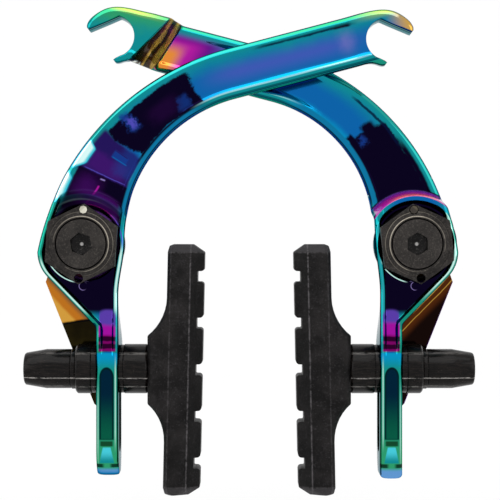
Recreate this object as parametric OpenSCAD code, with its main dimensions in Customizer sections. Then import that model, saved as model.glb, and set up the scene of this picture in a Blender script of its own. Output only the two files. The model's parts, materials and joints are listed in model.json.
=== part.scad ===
// Bicycle U-brake: two crossing forged arms on the frame's brake bosses, each with its pivot
// hardware and its brake pad. X is to the right seen from the front, Z is up and Y runs back
// towards the bicycle frame. The origin lies midway between the two pivot axes, in the plane
// where the tension nuts seat on the boss ends. Each side is drawn about its own pivot axis with
// +X towards the wheel, and the right side is the mirror image.

/* [Bosses] */
// Distance between the two pivot axes
boss_spacing = 84; // [80:0.5:90]
// Outer diameter of the frame boss that a sleeve slides over
boss_d = 9; // [8:0.1:9.4]

/* [Arm] */
// Room between the tension nut and the front arm's outer rim
front_room_out = 1.35; // [0.7:0.05:2]
// Room between the tension nut and the front arm's inner rim
front_room_in = 0.5; // [0.3:0.05:1.2]
// Room between the tension nut and the rear arm's outer rim
rear_room_out = 0.65; // [0.4:0.05:1.5]
// Room between the tension nut and the rear arm's inner rim
rear_room_in = 0.3; // [0.3:0.05:1]
// Rise of the straight upper part towards the claw, in degrees
arm_rise = 14.7; // [12:0.1:16]
// Thickness of the arm from front to back
arm_thick = 8.6; // [7:0.1:9]
// Clearance between the two arms where they cross
cross_gap = 0.8; // [0.4:0.1:1.5]
// How far the front arm's upper part stands forward of the seat plane
arm_forward = 4.4; // [3.5:0.1:5]
// Width of the rounded rim along both edges
rim_w = 1.8; // [1.2:0.1:2]
// Depth of the shallow recess between the rims
dish = 0.35; // [0.1:0.05:0.8]

/* [Claw] */
// Radius of the socket that holds the cable's barrel
socket_r = 5.3; // [4.6:0.1:5.5]
// Chamfer at the front of the socket
socket_chamfer = 0.5; // [0.2:0.1:0.8]

/* [Pivot] */
// Radial wall of the steel sleeve on the boss
sleeve_wall = 1.5; // [1:0.1:1.8]
// Radial running clearance of the bushing on the sleeve
bushing_gap = 0.05; // [0.02:0.01:0.09]
// Radial wall of the brass bushing
bushing_wall = 0.95; // [0.7:0.05:1]
// How far the pivot barrel stands behind the web
barrel_proud = 1.6; // [1:0.1:4]
// Radius of the turned pivot barrel
barrel_r = 10.6; // [10.4:0.1:11]
// Narrowing of the barrel from the spring's counterbore to its back
barrel_draft = 1.3; // [0.5:0.1:1.4]
// Depth of the pocket around the pivot, from the rim
pocket_depth = 2.5; // [1.5:0.1:3]
// Radius of the arched pocket wall above the pivot
pocket_r = 11; // [10.8:0.1:11.5]
// Width of the rim beside the pocket
pocket_rim = 1.3; // [1:0.1:1.5]
// Radius of the spring's counterbore
spring_bore_r = 9.7; // [9.65:0.01:9.8]

/* [Spring and nut] */
// Diameter of the spring wire
wire_d = 2; // [1.6:0.1:2.1]
// Turns of the spring
spring_turns = 2.75; // [1.75:1:2.75]
// Radius at which the wire ends pass through the nut and into the arm
wire_circle_r = 8.6; // [8.5:0.05:8.7]
// Width across the flats of the tension nut
nut_af = 17.5; // [17:0.1:17.8]
// Thickness of the tension nut's hexagonal plate
nut_plate = 2.8; // [2.4:0.1:3]
// Diameter of the mounting bolt's thread
bolt_d = 6; // [5:0.5:6]
// Length of the mounting bolt's thread behind the seat plane
bolt_len = 12; // [10:0.5:14]
// Radius of the mounting bolt's flat head
head_r = 6.45; // [6:0.05:6.6]
// Width across the flats of the hexagonal key sockets
key_af = 5; // [4:0.5:5]

/* [Slot plate] */
// Thickness of the slotted pad plate
plate_w = 5.6; // [5:0.1:6]
// Distance of the plate's outer face from the pivot axis, towards the wheel
plate_x = 3.4; // [3:0.1:4]
// Width of the adjusting slot
slot_w = 6.6; // [6.3:0.1:7]
// Height of the slot's upper end below the pivot axis
slot_top = 27; // [26.5:0.1:28]
// Height of the slot's lower end below the pivot axis
slot_bottom = 53; // [48:0.5:54]
// Height of the plate's lower end below the pivot axis
plate_bottom = 59; // [57:0.5:60]
// Thickness of the web behind the pad hardware
web_thick = 2; // [1.6:0.1:2.2]

/* [Pad hardware] */
// Height of the pad post below the pivot axis
post_drop = 31.8; // [31:0.1:47]
// Diameter of the threaded post
post_d = 6; // [5:0.5:6]
// Radius of the cup washer and of the spacer
cup_r = 6.3; // [6:0.1:6.35]
// Radius of the dome washers
dome_r = 6.15; // [5.8:0.05:6.3]
// Thickness of the inner dome washer at its edge
inner_dome_t = 1.2; // [0.8:0.1:2]
// Length of the spacer behind the pad
spacer_len = 6.1; // [4:0.1:8]
// Thickness of the outer dome washer at its edge
outer_dome_t = 1.5; // [0.8:0.1:2]
// Thickness of the cup washer
cup_t = 4; // [3:0.1:5]
// Thickness of the flat washer under the nut
flat_t = 1.2; // [0.8:0.1:2]
// Length of the pad nut
nut_len = 12; // [10:0.5:16]
// Radius of the pad nut
nut_r = 5; // [4.6:0.1:5.2]

/* [Brake pad] */
// Height of the pad
pad_h = 63.6; // [56:0.1:70]
// Depth of the pad from front to back
pad_w = 12; // [10:0.1:12.3]
// Thickness of the pad from its boss to the friction face
pad_t = 13.8; // [13:0.1:16]
// Height by which the boss stands out of the pad's back
pad_boss = 4.5; // [4:0.1:5.5]
// Grooves across the friction face
groove_count = 5; // [3:2:5]
// Spacing of the grooves
groove_pitch = 11.8; // [10:0.1:12]
// Width of the grooves
groove_w = 2.7; // [2:0.1:3.5]
// Depth of the grooves
groove_depth = 1.7; // [1:0.1:2.2]
// Angle by which the pad leans in at its upper end
pad_lean = 1.2; // [0:0.1:2]

/* [Hidden] */
$fn = 64;

// Overshoot of cuts through a face
eps = 0.5;
// Front of the rim around the pivot, and the floor of the pocket behind it
rim_y = -2;
floor_y = rim_y + pocket_depth;
// Front faces of the two upper arms and of both claws
front_face_y = -arm_forward;
rear_face_y = front_face_y + arm_thick + cross_gap;
// Centre of the pad post and back of the slot plate
post_y = rim_y + cup_r + 0.3;
web_front = post_y + cup_r + 0.5;
plate_back = web_front + web_thick;
barrel_len = plate_back + barrel_proud;
plate_inner = plate_x + plate_w;
// Pivot radii, from the boss outwards
sleeve_r = boss_d / 2 + sleeve_wall;
bushing_in_r = sleeve_r + bushing_gap;
bushing_out_r = bushing_in_r + bushing_wall;
washer_t = 0.8;
washer_gap = 0.2;
washer_w = 3.3;
sleeve_end = barrel_len + washer_gap + washer_t;
spring_floor_y = 8.2;
// Tension nut, from its front to the hub
nut_gap = 0.4;
nut_back = rim_y - nut_gap;
nut_front = nut_back - nut_plate;
nut_ring = 0.4;
head_seat = nut_front + 2.3;
head_front = nut_front - 0.3;
shoulder_r = bolt_d / 2 + 0.25;
hole_fit = 0.1;
// Where the edges of the lower arm run, from the pivot axis
shoulder_z = -2;
corner_r = 9;
funnel_slope = 46;
neck_z = -27.5;
ramp_z = -18;
ramp_slope = 14;
waist_z = -13;
// Socket centre of each claw, from the pivot axis
front_claw = [76.6, 51.4];
rear_claw = [76.1, 52.1];
// Fraction of the arc at which the rear arm steps back above its ridge
step_at = 0.24;
ridge_r = pocket_r + 1.1;
// Sphere shared by the dome washers and their cups
dome_sphere = 20;
hole_r = post_d / 2 + 0.3;

function ease(t) = let (s = min(max(t, 0), 1)) s * s * (3 - 2 * s);
function mix(a, b, t) = a + (b - a) * t;
function arc(c, r, a0, a1, n) =
    [for (i = [0:n]) let (a = mix(a0, a1, i / n)) c + r * [cos(a), sin(a)]];
function sag(r) = dome_sphere - sqrt(dome_sphere * dome_sphere - r * r);

// Sides of a stack of rings with m points each, as triangles
function ring_sides(k, m) =
    [for (i = [0:k - 2], j = [0:m - 1]) let (a = i * m + j, b = i * m + (j + 1) % m)
        each [[a, b, b + m], [a, b + m, a + m]]];

// An end of such a stack as a strip of triangles, for rings that aren't square to an axis
function end_strip(m, at) =
    [for (j = [0:m / 2 - 2]) let (a = at + j, b = at + m - 1 - j) each [[b, b - 1, a + 1], [b, a + 1, a]]];
function flip(faces) = [for (f = faces) [for (j = [len(f) - 1:-1:0]) f[j]]];

// Skin over a stack of rings, which is turned inside out if the stack runs the other way
module loft(rings, strips = false, turned = false) {
    k = len(rings);
    m = len(rings[0]);
    far = (k - 1) * m;
    caps = strips
        ? concat(end_strip(m, 0), flip(end_strip(m, far)))
        : [[for (j = [m - 1:-1:0]) j], [for (j = [0:m - 1]) far + j]];
    faces = concat(caps, ring_sides(k, m));
    polyhedron(points = [for (r = rings) each r], faces = turned ? flip(faces) : faces);
}

// A plane shape in X and Z, from y0 back to y1
module slab(y0, y1) {
    translate([0, y1, 0]) rotate([90, 0, 0]) linear_extrude(y1 - y0) children();
}

// A turned piece on a front-to-back axis, from y0 back to y1
module rod(r, y0, y1, r_back = undef) {
    translate([0, y0, 0]) rotate([-90, 0, 0])
        cylinder(h = y1 - y0, r1 = r, r2 = is_undef(r_back) ? r : r_back);
}

module hex_rod(af, y0, y1, turn = 0) {
    translate([0, y0, 0]) rotate([-90, 0, 0]) rotate(30 + turn)
        cylinder(h = y1 - y0, r = af / sqrt(3), $fn = 6);
}

module at_side(s) {
    if (s < 0) {
        translate([-boss_spacing / 2, 0, 0]) children();
    } else {
        mirror([1, 0, 0]) translate([-boss_spacing / 2, 0, 0]) children();
    }
}

// The bow's edges are circles that run into lines at the angle arm_rise. Each touches its line
// at the point given here and passes the pivot at its rim's distance from the tension nut.
front_outer_p = [36.8, 49.1];
front_inner_p = [38.4, 36.4];
rear_outer_p = [35, 49.7];
rear_inner_p = [36.3, 36.6];
edge_dir = [sin(arm_rise), -cos(arm_rise)];
function edge_centre(p, r) = p + r * edge_dir;
function on_line(p, x) = [x, p[1] + (x - p[0]) * tan(arm_rise)];
function rim_at(room) = nut_af / 2 + room + pocket_rim;
function outer_r(p, room) = let (d = p - [-rim_at(room), shoulder_z]) -(d * d) / (2 * d * edge_dir);
function inner_r(p, room) = (p[0] - rim_at(room)) / (1 - sin(arm_rise));
front_outer_r = outer_r(front_outer_p, front_room_out);
front_inner_r = inner_r(front_inner_p, front_room_in);
rear_outer_r = outer_r(rear_outer_p, rear_room_out);
rear_inner_r = inner_r(rear_inner_p, rear_room_in);

// Stations of the arm, as pairs of an outer and an inner point, from the neck to the claw
function lower_stations(c_out, r_out, c_in, r_in) =
    let (x_out = c_out[0] - sqrt(r_out * r_out - pow(shoulder_z - c_out[1], 2)),
        cc = [x_out + corner_r, shoulder_z],
        foot = cc + corner_r * [-cos(funnel_slope), -sin(funnel_slope)],
        x_in = c_in[0] - r_in,
        inner = function(z) [mix(plate_inner, x_in, ease((z - waist_z) / (c_in[1] - waist_z))), z],
        outer = function(x) [x, foot[1] - (x - foot[0]) * tan(funnel_slope)])
    concat(
        [[[plate_x, neck_z], inner(neck_z)], [outer(plate_x), inner(outer(plate_x)[1] + 0.6)]],
        [for (t = [0.67, 0.33, 0]) let (p = outer(mix(foot[0], plate_x, t))) [p, inner(p[1] * 0.93)]],
        [for (a = [31, 16, 0]) let (p = cc + corner_r * [-cos(a), -sin(a)])
            [p, inner(mix(-0.8, p[1], 0.75))]]);

function arc_stations(c_out, r_out, c_in, r_in, steps) =
    let (end = 90 + arm_rise,
        start_out = 180 - asin((shoulder_z - c_out[1]) / r_out))
    [for (t = steps) let (a = mix(start_out, end, t), b = mix(180, end, t))
        [c_out + r_out * [cos(a), sin(a)], c_in + r_in * [cos(b), sin(b)]]];

claw_top = [[-7, 6.4], [-3.9, 7.1], [-1, 7.4], [1.5, 7.05], [3.7, 6], [5.6, 4.5], [6.5, 3.1], [6.6, 2.2]];
front_under = [[-5.6, -6.4], [-4.6, -6.2], [-3.6, -6.15], [-2.7, -6.3], [-1.9, -6.55], [-1.2, -6.7],
    [-0.6, -6.6], [-0.2, -6.1]];
rear_under = [[-3.3, -6.2], [-3, -6.25], [-2.7, -6.3], [-2.3, -6.4], [-1.9, -6.55], [-1.2, -6.7],
    [-0.6, -6.6], [-0.2, -6.1]];
arc_steps = [0.05, 0.1, 0.15, 0.2, step_at - 0.004, step_at + 0.004, 0.3, 0.36, 0.43, 0.5, 0.58,
    0.66, 0.74, 0.82, 0.9, 1];
// Stations of the straight part, as the X of the outer edge, of the inner edge and the share
// of the jog that the rear arm's front and back have made there. Its step runs obliquely.
front_steps = [[44, 45, 0, 0], [51, 56, 0, 0], [56.4, 64.4, 0, 0], [62.2, 69.4, 0, 0], [65.6, 70.3, 0, 0]];
rear_steps = [[44, 45, 0, 0], [51, 54, 0, 0], [56, 62, 0, 0], [58.7, 66.05, 0, 0], [59.7, 68.1, 0.3, 0.04],
    [60.8, 70.3, 0.66, 0.25], [61.8, 72.3, 1, 0.55], [65.6, 72.6, 1, 0.85]];

// Front and back of each arm at height z below the claw
function front_y(front, z) = front ? mix(rim_y, front_face_y, ease((z - 7) / 9)) : rim_y;
function back_y(front, z) = let (low = mix(plate_back, 9, ease((z + 16) / 9)),
    high = (front ? front_face_y : rear_face_y) + arm_thick) mix(low, high, ease((z - 5) / 11));

// One section of the arm: rounded rims, a shallow recess between them and a softened back
function section(p, q, y0, y1) =
    let (w = norm(q - p), e = (q - p) / w, d = 1.3, b = 1.2, k = 3,
        at = function(s, y) [p[0] + e[0] * s, y, p[1] + e[1] * s])
    concat(
        [for (i = [0:k]) let (a = 90 * i / k) at(rim_w * (1 - cos(a)), y0 + d * (1 - sin(a)))],
        [at(rim_w + 0.8, y0 + dish), at(w - rim_w - 0.8, y0 + dish)],
        [for (i = [k:-1:0]) let (a = 90 * i / k) at(w - rim_w * (1 - cos(a)), y0 + d * (1 - sin(a)))],
        [at(w, y1 - b), at(w - 0.35 * b, y1 - 0.35 * b), at(w - b, y1)],
        [at(b, y1), at(0.35 * b, y1 - 0.35 * b), at(0, y1 - b)]);

module arm_blank(front) {
    p_out = front ? front_outer_p : rear_outer_p;
    p_in = front ? front_inner_p : rear_inner_p;
    r_out = front ? front_outer_r : rear_outer_r;
    r_in = front ? front_inner_r : rear_inner_r;
    c_out = edge_centre(p_out, r_out);
    c_in = edge_centre(p_in, r_in);
    claw = front ? front_claw : rear_claw;
    under = front ? front_under : rear_under;
    jog = front ? 0 : front_face_y - rear_face_y;
    face = front ? front_face_y : rear_face_y;
    lower = [for (s = lower_stations(c_out, r_out, c_in, r_in))
        let (z = (s[0][1] + s[1][1]) / 2) section(s[0], s[1], rim_y, back_y(front, z))];
    bow = [for (t = arc_steps)
        let (s = arc_stations(c_out, r_out, c_in, r_in, [t])[0], z = (s[0][1] + s[1][1]) / 2,
            y0 = front || t < step_at ? front_y(front, z) : face)
        section(s[0], s[1], y0, back_y(front, z))];
    straight = [for (s = front ? front_steps : rear_steps)
        section(on_line(p_out, s[0]), on_line(p_in, s[1]),
            face + jog * s[2], face + arm_thick + jog * s[3])];
    tip = [for (i = [0:len(claw_top) - 1])
        section(claw + claw_top[i], claw + under[i], front_face_y, front_face_y + arm_thick)];
    loft(concat(lower, bow, straight, tip), strips = true, turned = true);
}

// The claw's socket and its mouth between the two fingers
module claw_cut(front) {
    claw = front ? front_claw : rear_claw;
    y0 = front_face_y - eps;
    y1 = front_face_y + arm_thick + eps;
    mouth = [[-1.3, 4.9], [6, 1.85], [9, 1.2], [9, -7], [0.6, -6.4], [-0.6, -5.5], [-2.6, -4.6]];
    translate([claw[0], 0, claw[1]]) {
        intersection() {
            rod(socket_r, y0, y1);
            slab(y0, y1) polygon([[-9, 8.1], [-1.3, 4.9], [6, 1.85], [6, -9], [-9, -9]]);
        }
        slab(y0, y1) polygon(mouth);
        intersection() {
            rod(socket_r + socket_chamfer + 1, front_face_y - 1, front_face_y + socket_chamfer, socket_r);
            slab(y0, y1) polygon([[-9, 3], [0, 3], [0, -9], [-9, -9]]);
        }
    }
}

// The pocket around the pivot follows the arm's edges inside a thin rim and ends in an arch
module pocket_cut(front) {
    r_out = front ? front_outer_r : rear_outer_r;
    r_in = front ? front_inner_r : rear_inner_r;
    c_out = edge_centre(front ? front_outer_p : rear_outer_p, r_out);
    c_in = edge_centre(front ? front_inner_p : rear_inner_p, r_in);
    pairs = concat(lower_stations(c_out, r_out, c_in, r_in),
        arc_stations(c_out, r_out, c_in, r_in, [0.05, 0.1, 0.15, 0.2, 0.27]));
    sides = [for (s = pairs) let (e = (s[1] - s[0]) / norm(s[1] - s[0]))
        [s[0] + pocket_rim * e, s[1] - pocket_rim * e]];
    n = len(sides);
    lift = function(i) i == 0 ? [0, 2] : [0, 0];
    y0 = front_face_y - 2;
    intersection() {
        slab(y0, floor_y)
            polygon(concat([for (i = [0:n - 1]) sides[i][0] + lift(i)],
                [for (i = [n - 1:-1:0]) sides[i][1] + lift(i)]));
        union() {
            rod(pocket_r, y0 - 1, floor_y + eps);
            difference() {
                translate([-20, y0 - 1, neck_z - 2]) cube([40, 12, 5 - neck_z]);
                translate([-21, floor_y, ramp_z]) rotate([-ramp_slope, 0, 0]) translate([0, 0, -20])
                    cube([42, 12, 20]);
            }
        }
    }
}

// The pad plate with its adjusting slot stands across the wheel's plane of motion
module slot_plate() {
    round_r = 7;
    edge_r = 1.6;
    intersection() {
        translate([plate_x, 0, 0]) rotate([90, 0, 90]) linear_extrude(plate_w)
            polygon(concat(
                [[rim_y, neck_z + 4], [rim_y, -plate_bottom + round_r]],
                arc([rim_y + round_r, -plate_bottom + round_r], round_r, 187.5, 262.5, 10),
                arc([plate_back - round_r, -plate_bottom + round_r], round_r, 277.5, 352.5, 10),
                [[plate_back, -plate_bottom + round_r], [plate_back, neck_z + 10]]));
        translate([0, 0, -plate_bottom - 1]) linear_extrude(plate_bottom + 6)
            polygon(concat(
                arc([plate_x + edge_r, rim_y + edge_r], edge_r, 180, 270, 6),
                arc([plate_inner - edge_r, rim_y + edge_r], edge_r, 270, 360, 6),
                [[plate_inner - 0.2, web_front - 0.6], [plate_inner - 1.9, plate_back],
                    [plate_x, plate_back]]));
    }
}

module slot_cut() {
    r = slot_w / 2;
    translate([plate_x - eps, post_y, 0]) rotate([0, 90, 0]) {
        translate([slot_top + r, 0, 0]) cylinder(h = plate_w + 2 * eps, r = r);
        translate([slot_bottom - r, 0, 0]) cylinder(h = plate_w + 2 * eps, r = r);
        translate([slot_top + r, -r, 0]) cube([slot_bottom - slot_top - slot_w, slot_w, plate_w + 2 * eps]);
    }
}

// The web behind the pad hardware ties the barrel to the plate's back bar
module web() {
    slab(web_front, plate_back)
        polygon([[1.6 - barrel_r, -4.5], [-0.3 - barrel_r, -9.8], [plate_x - 1.7, -post_drop - 9.6],
            [plate_x + 1, -post_drop - 12.2], [plate_x + 1, -8]]);
}

module arm(front) {
    difference() {
        union() {
            arm_blank(front);
            slot_plate();
            web();
            rod(barrel_r, floor_y - 0.3, spring_floor_y);
            rod(barrel_r, spring_floor_y, barrel_len, barrel_r - barrel_draft);
        }
        pocket_cut(front);
        claw_cut(front);
        slot_cut();
        rod(bushing_out_r, spring_floor_y - eps, barrel_len + eps);
        rod(spring_bore_r, floor_y - eps, spring_floor_y);
        rod(pocket_r - 0.4, front_face_y - 2, rim_y - 0.02);
        translate([0, 0, -10.6]) rod(1, floor_y - eps, floor_y + 1);
        rotate([0, lean(front) + spring_turns * 360, 0]) translate([0, 0, wire_circle_r])
            rod(wire_d / 2 + 0.25, spring_floor_y - eps, spring_floor_y + 4);
        if (!front) {
            difference() {
                translate([-20, front_face_y - 2, 3])
                    cube([40, rear_face_y + 2.2 - front_face_y, 15]);
                rod(ridge_r, front_face_y - 3, rear_face_y + 2);
            }
        }
    }
}

module pivot_bushing() {
    difference() {
        rod(bushing_out_r, floor_y + 0.3, barrel_len);
        rod(bushing_in_r, floor_y, barrel_len + eps);
    }
}

module pivot_sleeve() {
    difference() {
        rod(sleeve_r, 0, sleeve_end);
        rod(boss_d / 2, -eps, sleeve_end + eps);
    }
}

module pivot_washer() {
    difference() {
        rod(sleeve_r + washer_w, barrel_len + washer_gap, sleeve_end);
        rod(sleeve_r, barrel_len, sleeve_end + eps);
    }
}

// Clock angle of the spring's front leg, and of its back leg after the turns
function lean(front) = front ? 4 : 6;
coil_front = floor_y + wire_d / 2 + 0.2;
coil_back = spring_floor_y - wire_d / 2 - 0.1;

// The spring's wire: a leg out through the nut, the coil and a leg into the arm
module return_spring(front) {
    sweep = spring_turns * 360;
    steps = round(spring_turns * 16);
    start = lean(front);
    coil = [for (i = [0:steps]) let (t = i / steps, a = start + t * sweep)
        [wire_circle_r * sin(a), mix(coil_front, coil_back, t), wire_circle_r * cos(a)]];
    n = len(coil);
    turn = function(i) start + i / steps * sweep;
    facet = 8;
    r = wire_d / 2;
    out = function(a) [sin(a), 0, cos(a)];
    ring = function(c, a, along, k) [for (j = [0:facet - 1]) let (b = 360 * j / facet)
        c + r * cos(b) * out(a) + r * sin(b) * (k * along)];
    fwd = [0, -1, 0];
    tangent = function(a) [cos(a), 0, -sin(a)];
    leg_in = [for (y = [nut_front - 0.2, coil_front - 0.9])
        ring([coil[0][0], y, coil[0][2]], start, tangent(start), 1)];
    bend_in = [ring([coil[0][0], coil_front, coil[0][2]], start, (tangent(start) + fwd) / sqrt(2), 1)];
    body = [for (i = [1:n - 2]) ring(coil[i], turn(i), fwd, 1)];
    last = turn(n - 1);
    bend_out = [ring([coil[n - 1][0], coil_back, coil[n - 1][2]], last,
        (fwd - tangent(last)) / sqrt(2), 1)];
    leg_out = [for (y = [coil_back + 0.9, spring_floor_y + 3])
        ring([coil[n - 1][0], y, coil[n - 1][2]], last, -tangent(last), 1)];
    loft(concat(leg_in, bend_in, body, bend_out, leg_out), turned = true);
}

module tension_nut(front) {
    difference() {
        union() {
            hex_rod(nut_af, nut_front, nut_back, lean(front));
            rod(head_r + 0.65, nut_front - nut_ring, nut_front + eps);
            rod(bushing_out_r - 0.2, nut_back - eps, 0);
        }
        difference() {
            rod(nut_af, nut_front - 1, nut_front + 2);
            rod(nut_af / 2 + 1, nut_front - nut_ring - 1, nut_front + 0.55, nut_af / 2 + 1);
            rod(nut_af / 2 + 0.3, nut_front, nut_front + 2.1, nut_af / 2 + 3.2);
        }
        rod(head_r + 0.05, nut_front - 1, head_seat);
        rod(shoulder_r + hole_fit, nut_front, eps);
        difference() {
            rod(wire_circle_r - 0.4, nut_front - 0.4, nut_front + 0.15);
            rod(wire_circle_r - 0.6, nut_front - 0.6, nut_front + 0.3);
        }
        for (a = [0, 180]) {
            rotate([0, lean(front) + a, 0]) translate([0, 0, wire_circle_r])
                rod(wire_d / 2 + 0.15, nut_front - eps, nut_back + eps);
        }
    }
}

module mounting_bolt(front) {
    difference() {
        union() {
            rod(head_r - 0.3, head_front, head_front + 0.3, head_r);
            rod(head_r, head_front + 0.3, head_seat);
            rod(shoulder_r, head_seat - eps, 0);
            rod(bolt_d / 2, -eps, bolt_len - 0.6);
            rod(bolt_d / 2, bolt_len - 0.6, bolt_len, bolt_d / 2 - 0.6);
        }
        hex_rod(key_af, head_front - eps, head_front + 1.9, front ? -10 : 1);
        rod(key_af / 2, head_front + 1.9 - 0.01, head_front + 2.4, 0.3);
    }
}

// Pieces on the pad post are turned about it: X runs from the plate, away from the pad if
// side is -1 and towards the pad if it is 1
module on_post(x, side = 1) {
    translate([x, post_y, -post_drop]) rotate([0, 90 * side, 0]) children();
}

// A washer with a flat foot and a domed face
module dome_washer(edge_t) {
    difference() {
        intersection() {
            cylinder(h = edge_t + sag(dome_r), r = dome_r);
            translate([0, 0, edge_t + sag(dome_r) - dome_sphere]) sphere(r = dome_sphere);
        }
        translate([0, 0, -eps]) cylinder(h = edge_t + 3, r = hole_r);
    }
}

// A thick washer whose cup takes the dome
module cup_ring(r, h) {
    chamfer = 0.5;
    difference() {
        union() {
            cylinder(h = h - chamfer, r = r);
            translate([0, 0, h - chamfer]) cylinder(h = chamfer, r1 = r, r2 = r - chamfer);
        }
        translate([0, 0, sag(dome_r) - dome_sphere]) sphere(r = dome_sphere);
        translate([0, 0, -eps]) cylinder(h = h + 2 * eps, r = hole_r);
    }
}

inner_cup_x = plate_inner + inner_dome_t;
pad_x = inner_cup_x + spacer_len;
outer_cup_x = plate_x - outer_dome_t;
flat_x = outer_cup_x - cup_t;
pad_nut_x = flat_x - flat_t;
anchor_x = 4;
anchor_t = 1.6;
anchor_r = 4.8;
nut_reach = 6;
// Bevels of the pad: along its back, down its sides to the friction face and at its ends
back_bevel = 1;
side_w = 3.5;
side_slope = 30;
end_bevel = 2;
end_drop = 2.9;
end_inset = 1.1;

module inner_dome_washer() {
    on_post(plate_inner) dome_washer(inner_dome_t);
}

module pad_spacer() {
    on_post(inner_cup_x) cup_ring(cup_r, spacer_len);
}

module outer_dome_washer() {
    on_post(plate_x, -1) dome_washer(outer_dome_t);
}

module cup_washer() {
    on_post(outer_cup_x, -1) cup_ring(cup_r, cup_t);
}

module flat_washer() {
    on_post(flat_x, -1) difference() {
        cylinder(h = flat_t, r = nut_r + 0.15);
        translate([0, 0, -eps]) cylinder(h = flat_t + 2 * eps, r = hole_r);
    }
}

module pad_nut() {
    cone = 5.6;
    socket = 3.8;
    chamfer = 0.4;
    tip_r = key_af / 2 + 1.6;
    on_post(pad_nut_x, -1) difference() {
        union() {
            cylinder(h = nut_len - cone, r = nut_r);
            translate([0, 0, nut_len - cone]) cylinder(h = cone - chamfer, r1 = nut_r, r2 = tip_r);
            translate([0, 0, nut_len - chamfer]) cylinder(h = chamfer, r1 = tip_r, r2 = tip_r - chamfer);
        }
        translate([0, 0, -eps]) cylinder(h = nut_len - socket - 0.6 + eps, r = post_d / 2);
        translate([0, 0, nut_len - socket]) cylinder(h = socket + eps, r = key_af / sqrt(3), $fn = 6);
    }
}

// The post ends in a flat head that is moulded into the pad
module pad_post() {
    on_post(pad_nut_x - nut_reach) cylinder(h = pad_x + anchor_x - pad_nut_x + nut_reach, r = post_d / 2);
    on_post(pad_x + anchor_x - anchor_t) cylinder(h = anchor_t, r = anchor_r);
}

// Stations along the pad: the height above the post, the distances of the back and of the
// friction face from the boss, and how far the sides are drawn in at the ends
function pad_stations() =
    let (h = pad_h / 2, curve_r = 12.4, foot = 18.2, turn = acos(1 - pad_boss / curve_r),
        upper = concat(
            [for (p = arc([pad_boss - curve_r, foot], curve_r, -turn, 0, 7)) [p[1], p[0], pad_t, 0]],
            [for (e = [[0, 0], [0.8, 0.4], [1, 1.5]])
                [h - end_bevel * (1 - e[0]), pad_boss + e[1], pad_t - end_drop * e[0], end_inset * e[0]]]))
    concat([for (i = [len(upper) - 1:-1:0]) let (s = upper[i]) [-s[0], s[1], s[2], s[3]]], upper);

// One section of the pad, which leans in towards its upper end while the boss stays flat
function pad_ring(s) =
    let (shift = s[0] * tan(pad_lean), half = pad_w / 2 - s[3], face = s[2] + shift,
        back = s[1] + shift * min(1, s[1] / pad_boss),
        side = [[back, half - back_bevel], [back + back_bevel, half], [face - side_w, half],
            [face, half - side_w * tan(side_slope)]])
    concat([for (p = side) [p[0], p[1], s[0]]], [for (i = [3:-1:0]) [side[i][0], -side[i][1], s[0]]]);

// A groove across the friction face with its two lips
function pad_groove(w) =
    let (g = groove_w / 2, lip = 0.5, side = [[-groove_depth, g], [-lip, g], [lip, g + 2 * lip]])
    [for (p = concat(side, [for (i = [2:-1:0]) [side[i][0], -side[i][1]]]))
        [pad_t + p[0] + (w + p[1]) * tan(pad_lean), w + p[1]]];

module brake_pad() {
    last = (groove_count - 1) / 2;
    translate([pad_x, post_y, -post_drop]) difference() {
        loft([for (s = pad_stations()) pad_ring(s)], turned = true);
        for (i = [-last:last]) {
            slab(-pad_w, pad_w) polygon(pad_groove(i * groove_pitch));
        }
        rotate([0, 90, 0]) {
            translate([0, 0, -1]) cylinder(h = anchor_x + 1, r = post_d / 2);
            translate([0, 0, anchor_x - anchor_t]) cylinder(h = anchor_t, r = anchor_r);
        }
    }
}

arm_colour = [0.12, 0.42, 0.6];
black_steel = [0.2, 0.19, 0.18];

module left_arm() { color(arm_colour) at_side(-1) arm(true); }
module right_arm() { color(arm_colour) at_side(1) arm(false); }
module left_pivot_bushing() { color("goldenrod") at_side(-1) pivot_bushing(); }
module right_pivot_bushing() { color("goldenrod") at_side(1) pivot_bushing(); }
module left_pivot_sleeve() { color("silver") at_side(-1) pivot_sleeve(); }
module right_pivot_sleeve() { color("silver") at_side(1) pivot_sleeve(); }
module left_pivot_washer() { color("dimgray") at_side(-1) pivot_washer(); }
module right_pivot_washer() { color("dimgray") at_side(1) pivot_washer(); }
module left_return_spring() { color("silver") at_side(-1) return_spring(true); }
module right_return_spring() { color("gray") at_side(1) return_spring(false); }
module left_tension_nut() { color(black_steel) at_side(-1) tension_nut(true); }
module right_tension_nut() { color(black_steel) at_side(1) tension_nut(false); }
module left_mounting_bolt() { color(black_steel) at_side(-1) mounting_bolt(true); }
module right_mounting_bolt() { color(black_steel) at_side(1) mounting_bolt(false); }
module left_brake_pad() { color([0.12, 0.12, 0.12]) at_side(-1) brake_pad(); }
module right_brake_pad() { color([0.12, 0.12, 0.12]) at_side(1) brake_pad(); }
module left_pad_post() { color("silver") at_side(-1) pad_post(); }
module right_pad_post() { color("silver") at_side(1) pad_post(); }
module left_pad_spacer() { color(black_steel) at_side(-1) pad_spacer(); }
module right_pad_spacer() { color(black_steel) at_side(1) pad_spacer(); }
module left_inner_dome_washer() { color(black_steel) at_side(-1) inner_dome_washer(); }
module right_inner_dome_washer() { color(black_steel) at_side(1) inner_dome_washer(); }
module left_outer_dome_washer() { color(black_steel) at_side(-1) outer_dome_washer(); }
module right_outer_dome_washer() { color(black_steel) at_side(1) outer_dome_washer(); }
module left_cup_washer() { color(black_steel) at_side(-1) cup_washer(); }
module right_cup_washer() { color(black_steel) at_side(1) cup_washer(); }
module left_flat_washer() { color(black_steel) at_side(-1) flat_washer(); }
module right_flat_washer() { color(black_steel) at_side(1) flat_washer(); }
module left_pad_nut() { color(black_steel) at_side(-1) pad_nut(); }
module right_pad_nut() { color(black_steel) at_side(1) pad_nut(); }

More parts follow.
